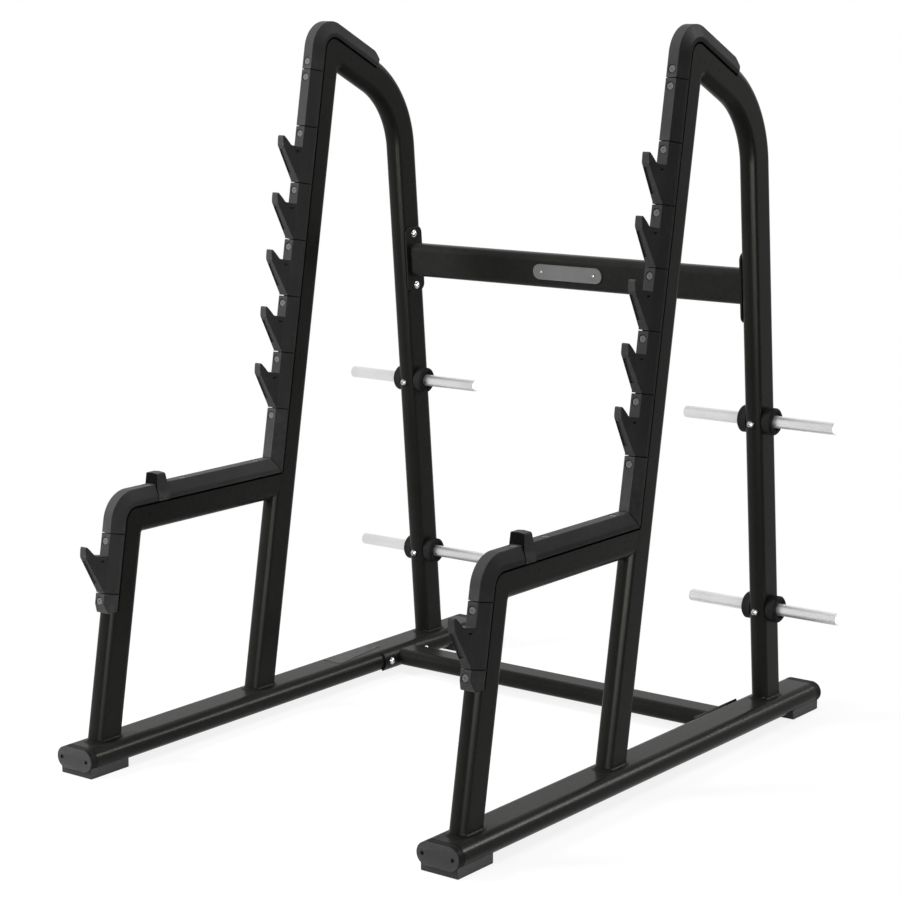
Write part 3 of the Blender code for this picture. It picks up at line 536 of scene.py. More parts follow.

# %% [markdown]
# ## Guards
#
# Moulded plastic guards clip over the outer round of the tubes, so that a bar never meets steel.
# Their section has a flat strip, a bevel each side and a lip down to the tube's flat side. A few
# corner points make it, and the corner bevel rounds them: small radii outside, and one large
# radius that turns the square notch inside into the half round of the tube. A near-black sheet
# under each lip paints the shadow along the lip's edge, and every guard stops just short of its
# seam, which leaves a dark line.

# %% The guard's section
STRIP_HALF = 0.0148
BEVEL_FOOT = 0.036
LIP_HALF = 0.026
HOOK_PITCH = 0.1524
BORE = TUBE_RADIUS + GAP
LIP_SHADOW_THICKNESS = 0.0006
LIP_SHADOW_WIDTH = 0.0052
SEAM_HALF = 0.0012
BORE_ROUNDING = BORE * 0.999
STRIP_ROUNDING = 0.0014
BEVEL_ROUNDING = 0.0030
LIP_ROUNDING = 0.0011
SEAM_ROUNDING = 0.0005


def mirrored(half):
    """The other half of an outline, in the order that carries the outline on."""
    return [(-x, out) for x, out in reversed(half)]


def guard_face(bm):
    """The guard's section as a face at the origin, facing -Y."""
    outside = [(LIP_HALF, FLAT_HALF), (LIP_HALF, BEVEL_FOOT), (STRIP_HALF, GUARD_OUT)]
    inside = [
        (BORE, FLAT_HALF + BORE),
        (BORE, FLAT_HALF - LIP_SHADOW_WIDTH),
        (BORE + LIP_SHADOW_THICKNESS, FLAT_HALF - LIP_SHADOW_WIDTH),
        (BORE + LIP_SHADOW_THICKNESS, FLAT_HALF),
    ]
    outline = outside + mirrored(outside) + mirrored(inside) + inside
    verts = [bm.verts.new((x, -out, SEAM_HALF)) for x, out in outline]
    bm.faces.new(verts)
    soften(bm, verts[9:11], BORE_ROUNDING, 10, "VERTICES")
    soften(bm, verts[2:4], STRIP_ROUNDING, 3, "VERTICES")
    soften(bm, [verts[1], verts[4]], BEVEL_ROUNDING, 4, "VERTICES")
    soften(bm, [verts[0], verts[5]], LIP_ROUNDING, 3, "VERTICES")
    return next(iter(bm.faces))


def is_outer(edge):
    """Whether an edge of the section is outside the bore and above the lips' ends."""
    start, end = (v.co for v in edge.verts)
    above_lips = max(start.y, end.y) < -FLAT_HALF - HAIR
    beside_bore = min(abs(start.x), abs(end.x)) > BORE
    over_bore = start.y < -FLAT_HALF - BORE - SEAM_HALF
    return above_lips and (beside_bore or over_bore)


def soften_seam(bm, *ways):
    """Rounds the outer rim of a guard's ends, and leaves the thin shadow sheet and the bore square.
    """
    rims = {edge for way in ways for edge in rim_edges(bm, way)}
    soften(bm, [edge for edge in rims if is_outer(edge)], SEAM_ROUNDING)


def straight_guard(name, length):
    bm = bmesh.new()
    pushed(bm, guard_face(bm), (0.0, 0.0, length - 2 * SEAM_HALF))
    soften_seam(bm, (0, 0, -1), (0, 0, 1))
    return kept(bm, name)


plain_guard = straight_guard("guard", HOOK_PITCH)
tell(plain_guard)

# %% [markdown]
# The glossy tube would flash through the narrow gap between two guards, where the real gap lies in
# shade. A thin near-black strip is bent round the tube there, and paints that shade. It is a slice
# of a slightly larger oval with the tube's own oval cut out, and only its outer half is kept.

# %% Painted shade under a seam
SEAM_SHADOW_THICKNESS = 0.0012
SEAM_SHADOW_CUTTER_REACH = 0.01


def seam_shadow_shape():
    half = SEAM_HALF - GAP
    bm = bmesh.new()
    face = oval_face(bm, BORE + SEAM_SHADOW_THICKNESS, FLAT_HALF, moved(z=-half))
    pushed(bm, face, (0.0, 0.0, 2 * half))
    cut_level(bm, (0.0, -FLAT_HALF, 0.0), (0.0, -1.0, 0.0))
    low = moved(z=-SEAM_SHADOW_CUTTER_REACH)
    tube = straight_oval("tube", BORE, FLAT_HALF, low, 2 * SEAM_SHADOW_CUTTER_REACH)
    return combined(kept(bm, "seam_seal"), "DIFFERENCE", tube)


seam_seal = seam_shadow_shape()
tell(seam_seal)

# %% [markdown]
# ## The bar hook
#
# Each hook is moulded in one with its guard. Its side view is a sloping front, a blunt tip and a
# slope down to a saddle where the bar rests. The side view is drawn once and extruded across, and
# then a shallow slot is set into the sloping front by an inset face that is pushed inwards.

# %% Side view of the hook, out from the tube and up from the seam
HOOK_HALF = 0.0145
HOOK_TAPER = 0.021 / 0.029
HOOK_ROOT = 0.0600
HOOK_FOOT = (GUARD_OUT - 0.0020, 0.0016)
HOOK_BREAK = (0.1380, 0.0890)
HOOK_TIP = (0.1450, 0.1245)
HOOK_TIP_ROUNDING = 0.0164
HOOK_TIP_START = 0.1050
SADDLE = (0.1087, 0.0955)
SLOT_SIDES = (-0.0124, 0.0043)
SLOT_HEIGHTS = (0.0225, 0.0815)
SLOT_DEPTH = 0.0034
SADDLE_ROUNDING = 0.0050
BREAK_ROUNDING = 0.0015
print("hook reaches out", HOOK_TIP[0], "and slot is", SLOT_SIDES[1] - SLOT_SIDES[0], "wide")


def hook_side_view(bm):
    """The hook's outline as a face on the plane x = -HOOK_HALF."""
    outline = (
        (HOOK_ROOT, HOOK_FOOT[1]), HOOK_FOOT, HOOK_BREAK, HOOK_TIP, SADDLE, (HOOK_ROOT, SADDLE[1])
    )
    verts = [bm.verts.new((-HOOK_HALF, -out, up)) for out, up in outline]
    bm.faces.new(verts)
    soften(bm, [verts[3]], HOOK_TIP_ROUNDING, 10, "VERTICES")
    soften(bm, [verts[4]], SADDLE_ROUNDING, 4, "VERTICES")
    soften(bm, [verts[2]], BREAK_ROUNDING, 3, "VERTICES")
    return next(iter(bm.faces))


def slot_corner(x, up):
    """A corner of the slot, on the line from the hook's foot to its break."""
    share = (up - HOOK_FOOT[1]) / (HOOK_BREAK[1] - HOOK_FOOT[1])
    out = HOOK_FOOT[0] + (HOOK_BREAK[0] - HOOK_FOOT[0]) * share
    return Vector((x, -out, up))


# %% [markdown]
# The slot is off centre, with a thin rim on one side and a wide one on the other. Its four inset
# corners are moved to their places, pushed in, and the rims are rounded. Last of all the hook is
# narrowed towards its tip, in proportion to how far out each point is.

# %% Hook with its slot
SLOT_INSET = 0.001
SLOT_FLOOR_ROUNDING = 0.0012
SLOT_RIM_ROUNDING = 0.0005
TIP_EDGE_ROUNDING = 0.0030
SIDE_EDGE_ROUNDING = 0.0012
print("slot is", SLOT_DEPTH, "deep")


def main_face(bm, way):
    """The largest face that looks one way."""
    return max(bm.faces, key=lambda f: f.normal.dot(way) * f.calc_area())


def hook_solid():
    bm = bmesh.new()
    pushed(bm, hook_side_view(bm), (2 * HOOK_HALF, 0.0, 0.0))
    bm.normal_update()
    bmesh.ops.recalc_face_normals(bm, faces=bm.faces)
    foot_out, foot_up = HOOK_FOOT
    break_out, break_up = HOOK_BREAK
    slope = Vector((0.0, foot_up - break_up, foot_out - break_out)).normalized()
    front = main_face(bm, slope)
    bmesh.ops.inset_individual(bm, faces=[front], thickness=SLOT_INSET)
    for vert in front.verts:
        x = SLOT_SIDES[0] if vert.co.x < 0 else SLOT_SIDES[1]
        up = SLOT_HEIGHTS[0] if vert.co.z < break_up / 2 else SLOT_HEIGHTS[1]
        vert.co = slot_corner(x, up)
    sides = {e for way in (-1, 1) for e in rim_edges(bm, (way, 0, 0))}
    rim = list(front.edges)
    floor = pushed(bm, front, -slope * SLOT_DEPTH)
    inner = {e for v in floor.verts for e in v.link_edges}
    soften(bm, inner, SLOT_FLOOR_ROUNDING, 3)
    soften(bm, [e for e in rim if e.is_valid], SLOT_RIM_ROUNDING)
    tip = {e for e in sides if e.is_valid and min(v.co.z for v in e.verts) > HOOK_TIP_START}
    rest = [e for e in sides if e.is_valid and e not in tip]
    soften(bm, tip, TIP_EDGE_ROUNDING, 5)
    soften(bm, [e for e in rest if e.is_valid], SIDE_EDGE_ROUNDING, 4)
    return bm


def narrowed_out(bm):
    for vert in bm.verts:
        share = max(0.0, (-vert.co.y - GUARD_OUT) / (HOOK_BREAK[0] - GUARD_OUT))
        vert.co.x *= 1.0 + (HOOK_TAPER - 1.0) * share
    return bm


# %% [markdown]
# A small triangular pocket is sunk in each side where the saddle meets the guard. It is cut with
# a three-sided prism, and the finished hook is joined to its guard as one moulding.

# %% Hook guard
POCKET = ((0.0925, 0.0842), (0.0735, 0.0842), (0.0828, 0.0780))
POCKET_DEPTH = 0.003
WIDTH_AT_POCKET = 0.925


def pocket_cutter(side):
    bm = bmesh.new()
    start = -side * POCKET_DEPTH
    face = bm.faces.new([bm.verts.new((start, -out, up)) for out, up in POCKET])
    pushed(bm, face, (side * 2 * POCKET_DEPTH, 0.0, 0.0))
    surface = (side * HOOK_HALF * WIDTH_AT_POCKET, 0.0, 0.0)
    bmesh.ops.translate(bm, vec=surface, verts=bm.verts)
    return kept(bm, "pocket")


PLUG_DROP = 0.0207
PLUG_RADIUS = 0.0090
PLUG_SEAT_RADIUS = 0.0108
PLUG_SEAT_DEPTH = 0.0040
PLUG_TOP = -0.0010


def plug_seat(up):
    """A cutter for the round seat of a plug in a guard's strip."""
    place = moved(y=-GUARD_OUT, z=up) @ TO_FRONT
    return round_cutter(PLUG_SEAT_RADIUS, 2 * PLUG_SEAT_DEPTH, place)


def with_plug_seat(mesh, up=HOOK_PITCH - PLUG_DROP):
    return combined(mesh, "DIFFERENCE", plug_seat(up))


hook = kept(narrowed_out(hook_solid()), "hook")
hook = combined(hook, "DIFFERENCE", pocket_cutter(-1), pocket_cutter(1))
hook_guard = with_plug_seat(combined(plain_guard.copy(), "UNION", hook))
plain_guard = with_plug_seat(plain_guard)
tell(hook_guard)

# %% [markdown]
# ## Guards round the corners
#
# The top guard and the arm's guard go round a corner of the frame. Both are the same section,
# pushed up to the corner, spun round it and pushed on. The top guard ends behind the corner in a
# nose that falls in a curve to the tube.

# %% Section round a corner
TOP_SEAM_DROP = 0.0782
FRONT_SEAM_DROP = 0.0450
FIRST_SEAM = MAIN.reach(TOP_CORNER.point) - TOP_SEAM_DROP
FRONT_SEAM = POST.reach(FRONT_CORNER.point) - FRONT_SEAM_DROP
print("first seams at", MAIN.at(FIRST_SEAM)[:], POST.at(FRONT_SEAM)[:])


def cornered_guard(run, seam, corner, onward_length):
    """A guard worked standing on its seam: up the run, round the corner and on."""
    bm = bmesh.new()
    rise = run.reach(corner.outer_centre) - seam
    face = pushed(bm, guard_face(bm), (0.0, 0.0, rise - SEAM_HALF))
    centre = (0.0, CORNER_DROP, rise)
    face = swept(bm, face, centre, (1.0, 0.0, 0.0), -corner.turn, 2 * CORNER_STEPS)
    onward = turned(Vector((0.0, 0.0, 1.0)), -corner.turn)
    rest = onward_length - CORNER_DROP * math.tan(corner.turn / 2)
    pushed(bm, face, onward * rest)
    soften_seam(bm, (0, 0, -1))
    return bm, onward


# %% Top guard and its nose
TOP_GUARD_RUN = 0.1836
NOSE_LENGTH = 0.0250
NOSE_LIP_LENGTH = 0.0174
NOSE_LIP_OUT = 0.004
NOSE_START_SLOPE = 0.35
NOSE_TIP_OUT = FLAT_HALF + TUBE_RADIUS + 0.0018
NOSE_STEPS = 10
NOSE_CUTTER_OUT = 0.09
NOSE_CUTTER_HALF = 0.05


def nose_cutter(start_slope=NOSE_START_SLOPE):
    """What is cut away to round a guard's end, with the end of the flat strip at the origin."""
    fall = GUARD_OUT + GAP - NOSE_TIP_OUT
    steady = start_slope * NOSE_LENGTH
    outline = []
    for step in range(NOSE_STEPS + 1):
        share = step / NOSE_STEPS
        drop = steady * share + (fall - steady) * share**2
        outline.append((GUARD_OUT + GAP - drop, NOSE_LENGTH * share))
    far = 3 * NOSE_LENGTH
    outline += [(FLAT_HALF, NOSE_LIP_LENGTH), (NOSE_LIP_OUT, NOSE_LIP_LENGTH)]
    outline += [(NOSE_LIP_OUT, far), (NOSE_CUTTER_OUT, far), (NOSE_CUTTER_OUT, 0.0)]
    bm = bmesh.new()
    face = bm.faces.new([bm.verts.new((-NOSE_CUTTER_HALF, -out, up)) for out, up in outline])
    pushed(bm, face, (2 * NOSE_CUTTER_HALF, 0.0, 0.0))
    return kept(bm, "nose")


def top_guard_shape():
    length = TOP_GUARD_RUN + NOSE_LENGTH + GAP
    bm, onward = cornered_guard(MAIN, FIRST_SEAM, TOP_CORNER, length)
    turn_back = Matrix.Rotation(-TOP_CORNER.turn, 4, "X")
    strip_end = Vector((0.0, 0.0, TOP_SEAM_DROP)) + onward * TOP_GUARD_RUN
    nose = placed(nose_cutter(), Matrix.Translation(strip_end) @ turn_back)
    guard = combined(kept(bm, "top_guard"), "DIFFERENCE", nose)
    return placed(with_plug_seat(guard, PLUG_DROP), MAIN.stand(FIRST_SEAM))


top_guard = top_guard_shape()
tell(top_guard)

# %% [markdown]
# ## The mitre between the upright's guard and the arm's guard
#
# Where the plain guard on the upright comes down to the guard on the arm, both are cut on one
# slanting plane, like the corner of a picture frame. A plane cut does exactly that.

# %% Lower guard and arm guard
HOOKS = 5
LOWEST_HOOK_SEAM = FIRST_SEAM - (HOOKS + 1) * HOOK_PITCH
ARM_GUARD_REACH = 0.75
ARM_HOLES_Y = (-0.546, -0.418, -0.136)


def guard_mitre():
    upright = Run(*(MAIN.start + MAIN.out * GUARD_OUT).yz, MAIN.angle)
    arm = Run(*(ARM.start + ARM.out * GUARD_OUT).yz, ARM.angle)
    return crossing(upright, arm), (MAIN.along + ARM.along).normalized()


MITRE_POINT, MITRE_NORMAL = guard_mitre()


def lower_guard_shape():
    bm = bmesh.new()
    pushed(bm, guard_face(bm), (0.0, 0.0, 2 * HOOK_PITCH - 2 * SEAM_HALF))
    soften_seam(bm, (0, 0, 1))
    place = MAIN.stand(LOWEST_HOOK_SEAM - 2 * HOOK_PITCH)
    bmesh.ops.transform(bm, matrix=place, verts=bm.verts)
    cut_level(bm, MITRE_POINT + MITRE_NORMAL * SEAM_HALF, MITRE_NORMAL)
    seat = placed(plug_seat(-PLUG_DROP), MAIN.stand(LOWEST_HOOK_SEAM))
    return combined(kept(bm, "lower_guard"), "DIFFERENCE", seat)


def arm_guard_shape():
    bm, _ = cornered_guard(POST, FRONT_SEAM, FRONT_CORNER, ARM_GUARD_REACH)
    bmesh.ops.transform(bm, matrix=POST.stand(FRONT_SEAM), verts=bm.verts)
    cut_level(bm, MITRE_POINT - MITRE_NORMAL * SEAM_HALF, -MITRE_NORMAL)
    holes = []
    for y in ARM_HOLES_Y:
        place = moved(y=y, z=ARM_HEIGHT + GUARD_OUT)
        holes.append(round_cutter(PLUG_SEAT_RADIUS, 2 * PLUG_SEAT_DEPTH, place))
    return combined(kept(bm, "arm_guard"), "DIFFERENCE", *holes)


lower_guard = lower_guard_shape()
arm_guard = arm_guard_shape()
tell(lower_guard, arm_guard)

# %% [markdown]
# ## The end of the front guard
#
# Below the front hook a short guard ends in the same nose, this time hanging down.

# %% Guard end
GUARD_END_LENGTH = 0.0257
END_PLUG_DROP = 0.0207
END_NOSE_START_SLOPE = 0.64


def guard_end_shape():
    bm = bmesh.new()
    pushed(bm, guard_face(bm), (0.0, 0.0, GUARD_END_LENGTH + NOSE_LENGTH))
    soften_seam(bm, (0, 0, -1))
    nose = placed(nose_cutter(END_NOSE_START_SLOPE), moved(z=GUARD_END_LENGTH))
    shape = combined(kept(bm, "guard_end"), "DIFFERENCE", nose, plug_seat(END_PLUG_DROP))
    bm = bmesh.new()
    bm.from_mesh(shape)
    bmesh.ops.scale(bm, vec=(1.0, 1.0, -1.0), verts=bm.verts)
    return placed(kept(bm, "guard_end"), POST.stand(FRONT_SEAM - HOOK_PITCH - GAP))


guard_end = guard_end_shape()
tell(guard_end)

# %% [markdown]
# ## The stop on the arm
#
# A rubber block is strapped over the arm's guard, to keep a bar from rolling off the front. Its
# section is drawn with its strap, pushed along the arm, and its ends are leaned inwards. Its rims
# are softened, apart from the rear end's upright edges, which lean too much for the test below.

# %% Arm stop
STOP_Y = -0.5125
STOP_LENGTH = 0.040
STOP_HEIGHT = 0.7310
STOP_FOOT_HALF = 0.0222
STOP_TOP_HALF = 0.0205
STOP_SLOPES = (0.004, -0.009)
STRAP_THICKNESS = 0.0015
SHOULDER_DROP = 0.0115
STOP_CROWN = 0.0020
STOP_TOP_ROUNDING = 0.003
STOP_EDGE_ROUNDING = 0.0012
FRONT_LEAN_LIMIT = 0.006
EDGE_ANGLE = 1.0
STRIP_LEVEL = ARM_HEIGHT + GUARD_OUT


def is_block_edge(edge):
    """Whether an edge is to be softened: one round a block's end, above the strap."""
    start, end = (v.co for v in edge.verts)
    widths = sorted((abs(start.x), abs(end.x)))
    low = min(start.z, end.z)
    round_end = edge.calc_face_angle(0.0) > EDGE_ANGLE and abs(start.y - end.y) < FRONT_LEAN_LIMIT
    on_block = low > STRIP_LEVEL - SHOULDER_DROP - GAP and widths[1] < STOP_FOOT_HALF + GAP
    outside = low > STRIP_LEVEL + 2 * GAP or widths[0] > STRIP_HALF + 2 * GAP
    return round_end and on_block and outside


def arm_stop_shape():
    foot = ARM_HEIGHT + BEVEL_FOOT
    inside = LIP_HALF + GAP
    half = [
        (inside, ARM_HEIGHT + FLAT_HALF),
        (inside + STRAP_THICKNESS, ARM_HEIGHT + FLAT_HALF),
        (inside + STRAP_THICKNESS, foot + GAP),
        (STOP_FOOT_HALF, STRIP_LEVEL - SHOULDER_DROP),
        (STOP_TOP_HALF, STOP_HEIGHT),
        (0.0, STOP_HEIGHT + STOP_CROWN),
    ]
    under = [(STRIP_HALF + GAP, STRIP_LEVEL + GAP), (inside, foot + GAP)]
    outline = half + mirrored(half[:-1]) + mirrored(under) + under
    bm = bmesh.new()
    verts = [bm.verts.new((x, STOP_Y - STOP_LENGTH / 2, z)) for x, z in outline]
    bm.faces.new(verts)
    soften(bm, [verts[4], verts[6]], STOP_TOP_ROUNDING, 4, "VERTICES")
    end = pushed(bm, next(iter(bm.faces)), (0.0, STOP_LENGTH, 0.0))
    tail = set(end.verts)
    for vert in bm.verts:
        share = max(0.0, (vert.co.z - STRIP_LEVEL) / (STOP_HEIGHT - STRIP_LEVEL))
        vert.co.y += STOP_SLOPES[vert in tail] * share
    bm.normal_update()
    soften(bm, [e for e in bm.edges if is_block_edge(e)], STOP_EDGE_ROUNDING, 3)
    return kept(bm, "arm_stop")


arm_stop = arm_stop_shape()
tell(arm_stop)

# %% [markdown]
# ## Turned pieces
#
# Horns, collars, plugs and bolts are all turned on a lathe or moulded round. A half outline is
# drawn from a few points, its corners are rounded with the same corner bevel, and a full spin
# closes it. Each outline is a list of distances from the axis and along it.

# %% The lathe
LATHE_STEPS = 56


def lathed(name, outline, softened, radius, steps=LATHE_STEPS):
    """Spins an outline of (radius, height) points about Z. Open ends lie on the axis."""
    bm = bmesh.new()
    verts = [bm.verts.new((r, 0.0, z)) for r, z in outline]
    edges = [bm.edges.new(pair) for pair in zip(verts, verts[1:])]
    if outline[0][0] > 0.0:
        edges.append(bm.edges.new((verts[-1], verts[0])))
    if softened:
        soften(bm, [verts[index] for index in softened], radius, 3, "VERTICES")
    bmesh.ops.spin(
        bm,
        geom=[*bm.verts, *bm.edges],
        cent=(0.0, 0.0, 0.0),
        axis=(0.0, 0.0, 1.0),
        angle=2 * math.pi,
        steps=steps,
        use_merge=True,
    )
    return kept(bm, name)


# %% Horn and collar
HORN_RADIUS = 0.016
HORN_REACH = 0.226
HORN_CHAMFER = 0.003
HORN_ROUNDING = 0.0006
COLLAR_RADIUS = 0.0357
COLLAR_FOOT = 0.0243
COLLAR_FACE = 0.0510
COLLAR_CHAMFER = 0.0045
COLLAR_ROUNDING = 0.0010
RECESS_RADIUS = 0.0245
RECESS_DEPTH = 0.0040
HORN_FIT = 0.0004
TO_SIDE = Matrix.Rotation(math.pi / 2, 4, "Y")

horn = lathed(
    "horn",
    [
        (0.0, -HORN_REACH),
        (HORN_RADIUS - HORN_CHAMFER, -HORN_REACH),
        (HORN_RADIUS, HORN_CHAMFER - HORN_REACH),
        (HORN_RADIUS, HORN_REACH - HORN_CHAMFER),
        (HORN_RADIUS - HORN_CHAMFER, HORN_REACH),
        (0.0, HORN_REACH),
    ],
    (1, 2, 3, 4),
    HORN_ROUNDING,
)
collar = lathed(
    "collar",
    [
        (HORN_RADIUS + HORN_FIT, COLLAR_FOOT),
        (COLLAR_RADIUS, COLLAR_FOOT),
        (COLLAR_RADIUS, COLLAR_FACE - COLLAR_CHAMFER),
        (COLLAR_RADIUS - COLLAR_CHAMFER, COLLAR_FACE),
        (RECESS_RADIUS, COLLAR_FACE),
        (RECESS_RADIUS, COLLAR_FACE - RECESS_DEPTH),
        (HORN_RADIUS + HORN_FIT, COLLAR_FACE - RECESS_DEPTH),
    ],
    (2, 3, 4),
    COLLAR_ROUNDING,
)
tell(horn, collar)

# %% [markdown]
# ## Plugs, bolts and screws
#
# Plugs hide the screws that hold the guards. Each has a shallow dimple. The bolts are dome heads
# with a hexagon socket, standing on a thin washer. The socket is cut with a six-sided prism.

# %% Fasteners
WASHER_SINK = 0.001
WASHER_TOP = 0.0012
DOME_STEPS = 8
SOCKET_DEPTH_SHARE = 0.55
BOLT_STEPS = 40


def dome_bolt(name, radius, height, washer, socket):
    """A dome head on a washer of its own radius, with a socket of its own. It stands on z = 0."""
    outline = [(0.0, -WASHER_SINK), (washer, -WASHER_SINK), (washer, WASHER_TOP)]
    for step in range(DOME_STEPS):
        angle = math.pi / 2 * step / DOME_STEPS
        outline.append((radius * math.cos(angle), WASHER_TOP + height * math.sin(angle)))
    outline.append((0.0, WASHER_TOP + height))
    head = lathed(name, outline, (), 0.0, BOLT_STEPS)
    socket_depth = 2 * height * SOCKET_DEPTH_SHARE
    hexagon = round_cutter(socket, socket_depth, moved(z=WASHER_TOP + height), 6)
    return combined(head, "DIFFERENCE", hexagon)


plate_bolt = dome_bolt("plate_bolt", 0.0088, 0.0056, 0.0105, 0.0034)
set_bolt = dome_bolt("set_bolt", 0.0085, 0.0085, 0.0088, 0.0036)
small_screw = dome_bolt("small_screw", 0.0040, 0.0022, 0.0041, 0.0016)
tell(plate_bolt, set_bolt, small_screw)

# %% Plug
PLUG_ROOT = -PLUG_SEAT_DEPTH * 0.9
PLUG_ROUNDING = 0.0005
DIMPLE = ((0.0026, 0.0004), (0.0014, -0.0008), (0.0, -0.0009))

plug = lathed(
    "plug",
    [(0.0, PLUG_ROOT), (PLUG_RADIUS, PLUG_ROOT), (PLUG_RADIUS, PLUG_TOP)]
    + [(radius, PLUG_TOP + rise) for radius, rise in DIMPLE],
    (2, 3),
    PLUG_ROUNDING,
    BOLT_STEPS,
)
tell(plug)

# %% [markdown]
# ## The crossbeam
#
# A box beam with well rounded edges ties the two sides together at the back. It is welded between
# two plates, and each plate is bolted to its upright. The beam leans with the uprights.

# %% Crossbeam and plates
BEAM_HEIGHT = 1.191
BEAM_DEPTH = 0.050
BEAM_TALL = 0.0938
BEAM_ROUNDING = 0.020
PLATE_SIZE = (0.006, 0.073, 0.185)
PLATE_ROUNDING = 0.0009
PLATE_X = HALF_SPACING - TUBE_RADIUS - GAP - PLATE_SIZE[0] / 2


def on_beam(x, up, out):
    """A place on the leaning plane of the rear uprights, given from the beam's middle."""
    lean = Matrix.Rotation(REAR_LEAN, 4, "X")
    return Matrix.Translation(REAR.at_height(BEAM_HEIGHT)) @ lean @ moved(x, out, up)


def leaning_block(name, size, place, softened=()):
    """A block with rounded long edges. The rims of the ends named are softened too."""
    bm = bmesh.new()
    rounded_block(bm, size, BEAM_ROUNDING, 0, 10)
    for way in softened:
        soften(bm, rim_edges(bm, way), PLATE_ROUNDING)
    bmesh.ops.transform(bm, matrix=place, verts=bm.verts)
    return kept(bm, name)


beam_length = 2 * (PLATE_X - PLATE_SIZE[0] / 2 - GAP)
crossbeam = leaning_block("crossbeam", (beam_length, BEAM_DEPTH, BEAM_TALL), on_beam(0, 0, 0))
beam_plates = {}
for side, x in (("left", -PLATE_X), ("right", PLATE_X)):
    place = on_beam(x, 0, 0)
    beam_plates[side] = leaning_block("plate", PLATE_SIZE, place, ((-1, 0, 0), (1, 0, 0)))
print("beam length", beam_length)

# %% [markdown]
# The badge is a metal plate with round ends and a raised rim. Its face stays bare. The rim comes
# from an inset face that is pushed in.

# %% Badge
BADGE_SIZE = (0.224, 0.004, 0.042)
BADGE_END_ROUNDING = 0.0205
BADGE_RIM_WIDTH = 0.0016
BADGE_RIM_HEIGHT = 0.0009
BADGE_RIM_ROUNDING = 0.0005


def badge_shape():
    bm = bmesh.new()
    rounded_block(bm, BADGE_SIZE, BADGE_END_ROUNDING, 1, 12)
    bm.normal_update()
    front = main_face(bm, Vector((0.0, -1.0, 0.0)))
    bmesh.ops.inset_individual(bm, faces=[front], thickness=BADGE_RIM_WIDTH)
    outer = rim_edges(bm, (0, -1, 0))
    bmesh.ops.translate(bm, vec=(0.0, BADGE_RIM_HEIGHT, 0.0), verts=front.verts)
    soften(bm, outer, BADGE_RIM_ROUNDING)
    out = -(BEAM_DEPTH / 2 + GAP + BADGE_SIZE[1] / 2)
    bmesh.ops.transform(bm, matrix=on_beam(0, 0, out), verts=bm.verts)
    return kept(bm, "badge")


badge = badge_shape()
tell(badge)

# %% [markdown]
# ## The low cross tube
#
# A length of the same oval lies flat between the rails. At each end it is welded to a plate that
# is rolled round the rail's inner side, and bolted through it. The plate is a thin strip spun
# round the rail's centre line.

# %% Cross tube and saddle plates
CROSS_Y = 0.450
SADDLE_LENGTH = 0.214
SADDLE_THICKNESS = 0.006
SADDLE_REACH = math.radians(55.0)
SADDLE_CENTRE_X = HALF_SPACING - RAIL_FLAT_HALF
SADDLE_STEPS = 36
SADDLE_ROUNDING = 0.0007
TUBE_END_SHARE = 0.80


def saddle_plate(side):
    """The lower face of a very thin block, spun round the rail's centre line."""
    bm = bmesh.new()
    thin_block = Matrix.Diagonal((SADDLE_THICKNESS, SADDLE_LENGTH, HAIR, 1.0))
    bmesh.ops.create_cube(bm, size=1.0, matrix=thin_block)
    low = [f for f in bm.faces if f.calc_center_median().z < 0 and abs(f.normal.z) > ALONG]
    others = [f for f in bm.faces if f not in low]
    bmesh.ops.delete(bm, geom=others, context="FACES_KEEP_BOUNDARY")
    face = next(iter(bm.faces))
    centre = (SADDLE_CENTRE_X, CROSS_Y, RAIL_MID)
    middle = (SADDLE_CENTRE_X - (RAIL_RADIUS + GAP) - SADDLE_THICKNESS / 2, CROSS_Y, RAIL_MID)
    bmesh.ops.translate(bm, vec=middle, verts=bm.verts)
    start = Matrix.Rotation(-SADDLE_REACH, 3, "Y")
    bmesh.ops.rotate(bm, cent=centre, matrix=start, verts=face.verts)
    swept(bm, face, centre, (0.0, 1.0, 0.0), 2 * SADDLE_REACH, SADDLE_STEPS)
    loose = [v for v in bm.verts if not v.link_faces]
    bmesh.ops.delete(bm, geom=loose, context="VERTS")
    soften(bm, [e for e in bm.edges if e.calc_face_angle(0.0) > EDGE_ANGLE], SADDLE_ROUNDING)
    bmesh.ops.scale(bm, vec=(side, 1.0, 1.0), verts=bm.verts)
    return kept(bm, "saddle_plate")


def cross_tube_shape():
    reach = SADDLE_CENTRE_X - (RAIL_RADIUS + SADDLE_THICKNESS) * TUBE_END_SHARE
    place = moved(-reach, CROSS_Y, RAIL_MID) @ TO_SIDE
    tube = straight_oval("base_cross_tube", TUBE_RADIUS, FLAT_HALF, place, 2 * reach)
    return combined(tube, "UNION", saddle_plate(-1), saddle_plate(1))


cross_tube = cross_tube_shape()
tell(cross_tube)

# %% [markdown]
# ## Weld fillets
#
# Each upright is welded all round its foot, and under the powder coat the weld is a smooth hollow
# fillet. A fillet is a quarter round turned inside out, carried round the oval footprint. Rings of
# points are laid along the quarter round and bridged one to the next, in a closed cycle.

# %% Fillet round a tube's foot
FILLET_REACH = 0.009
FILLET_STEPS = 6
FILLET_ROOT = 0.0015


def oval_ring(bm, run, grown, level):
    """An oval of edges round a run, slid along it to a level."""
    made = bmesh.new()
    face = oval_face(made, TUBE_RADIUS + grown, FLAT_HALF, run.stand(0.0))
    points = [loop.vert.co.copy() for loop in face.loops]
    made.free()
    verts = [bm.verts.new(p + run.along * ((level - p.z) / run.along.z)) for p in points]
    return [bm.edges.new(pair) for pair in zip(verts, verts[1:] + verts[:1])]


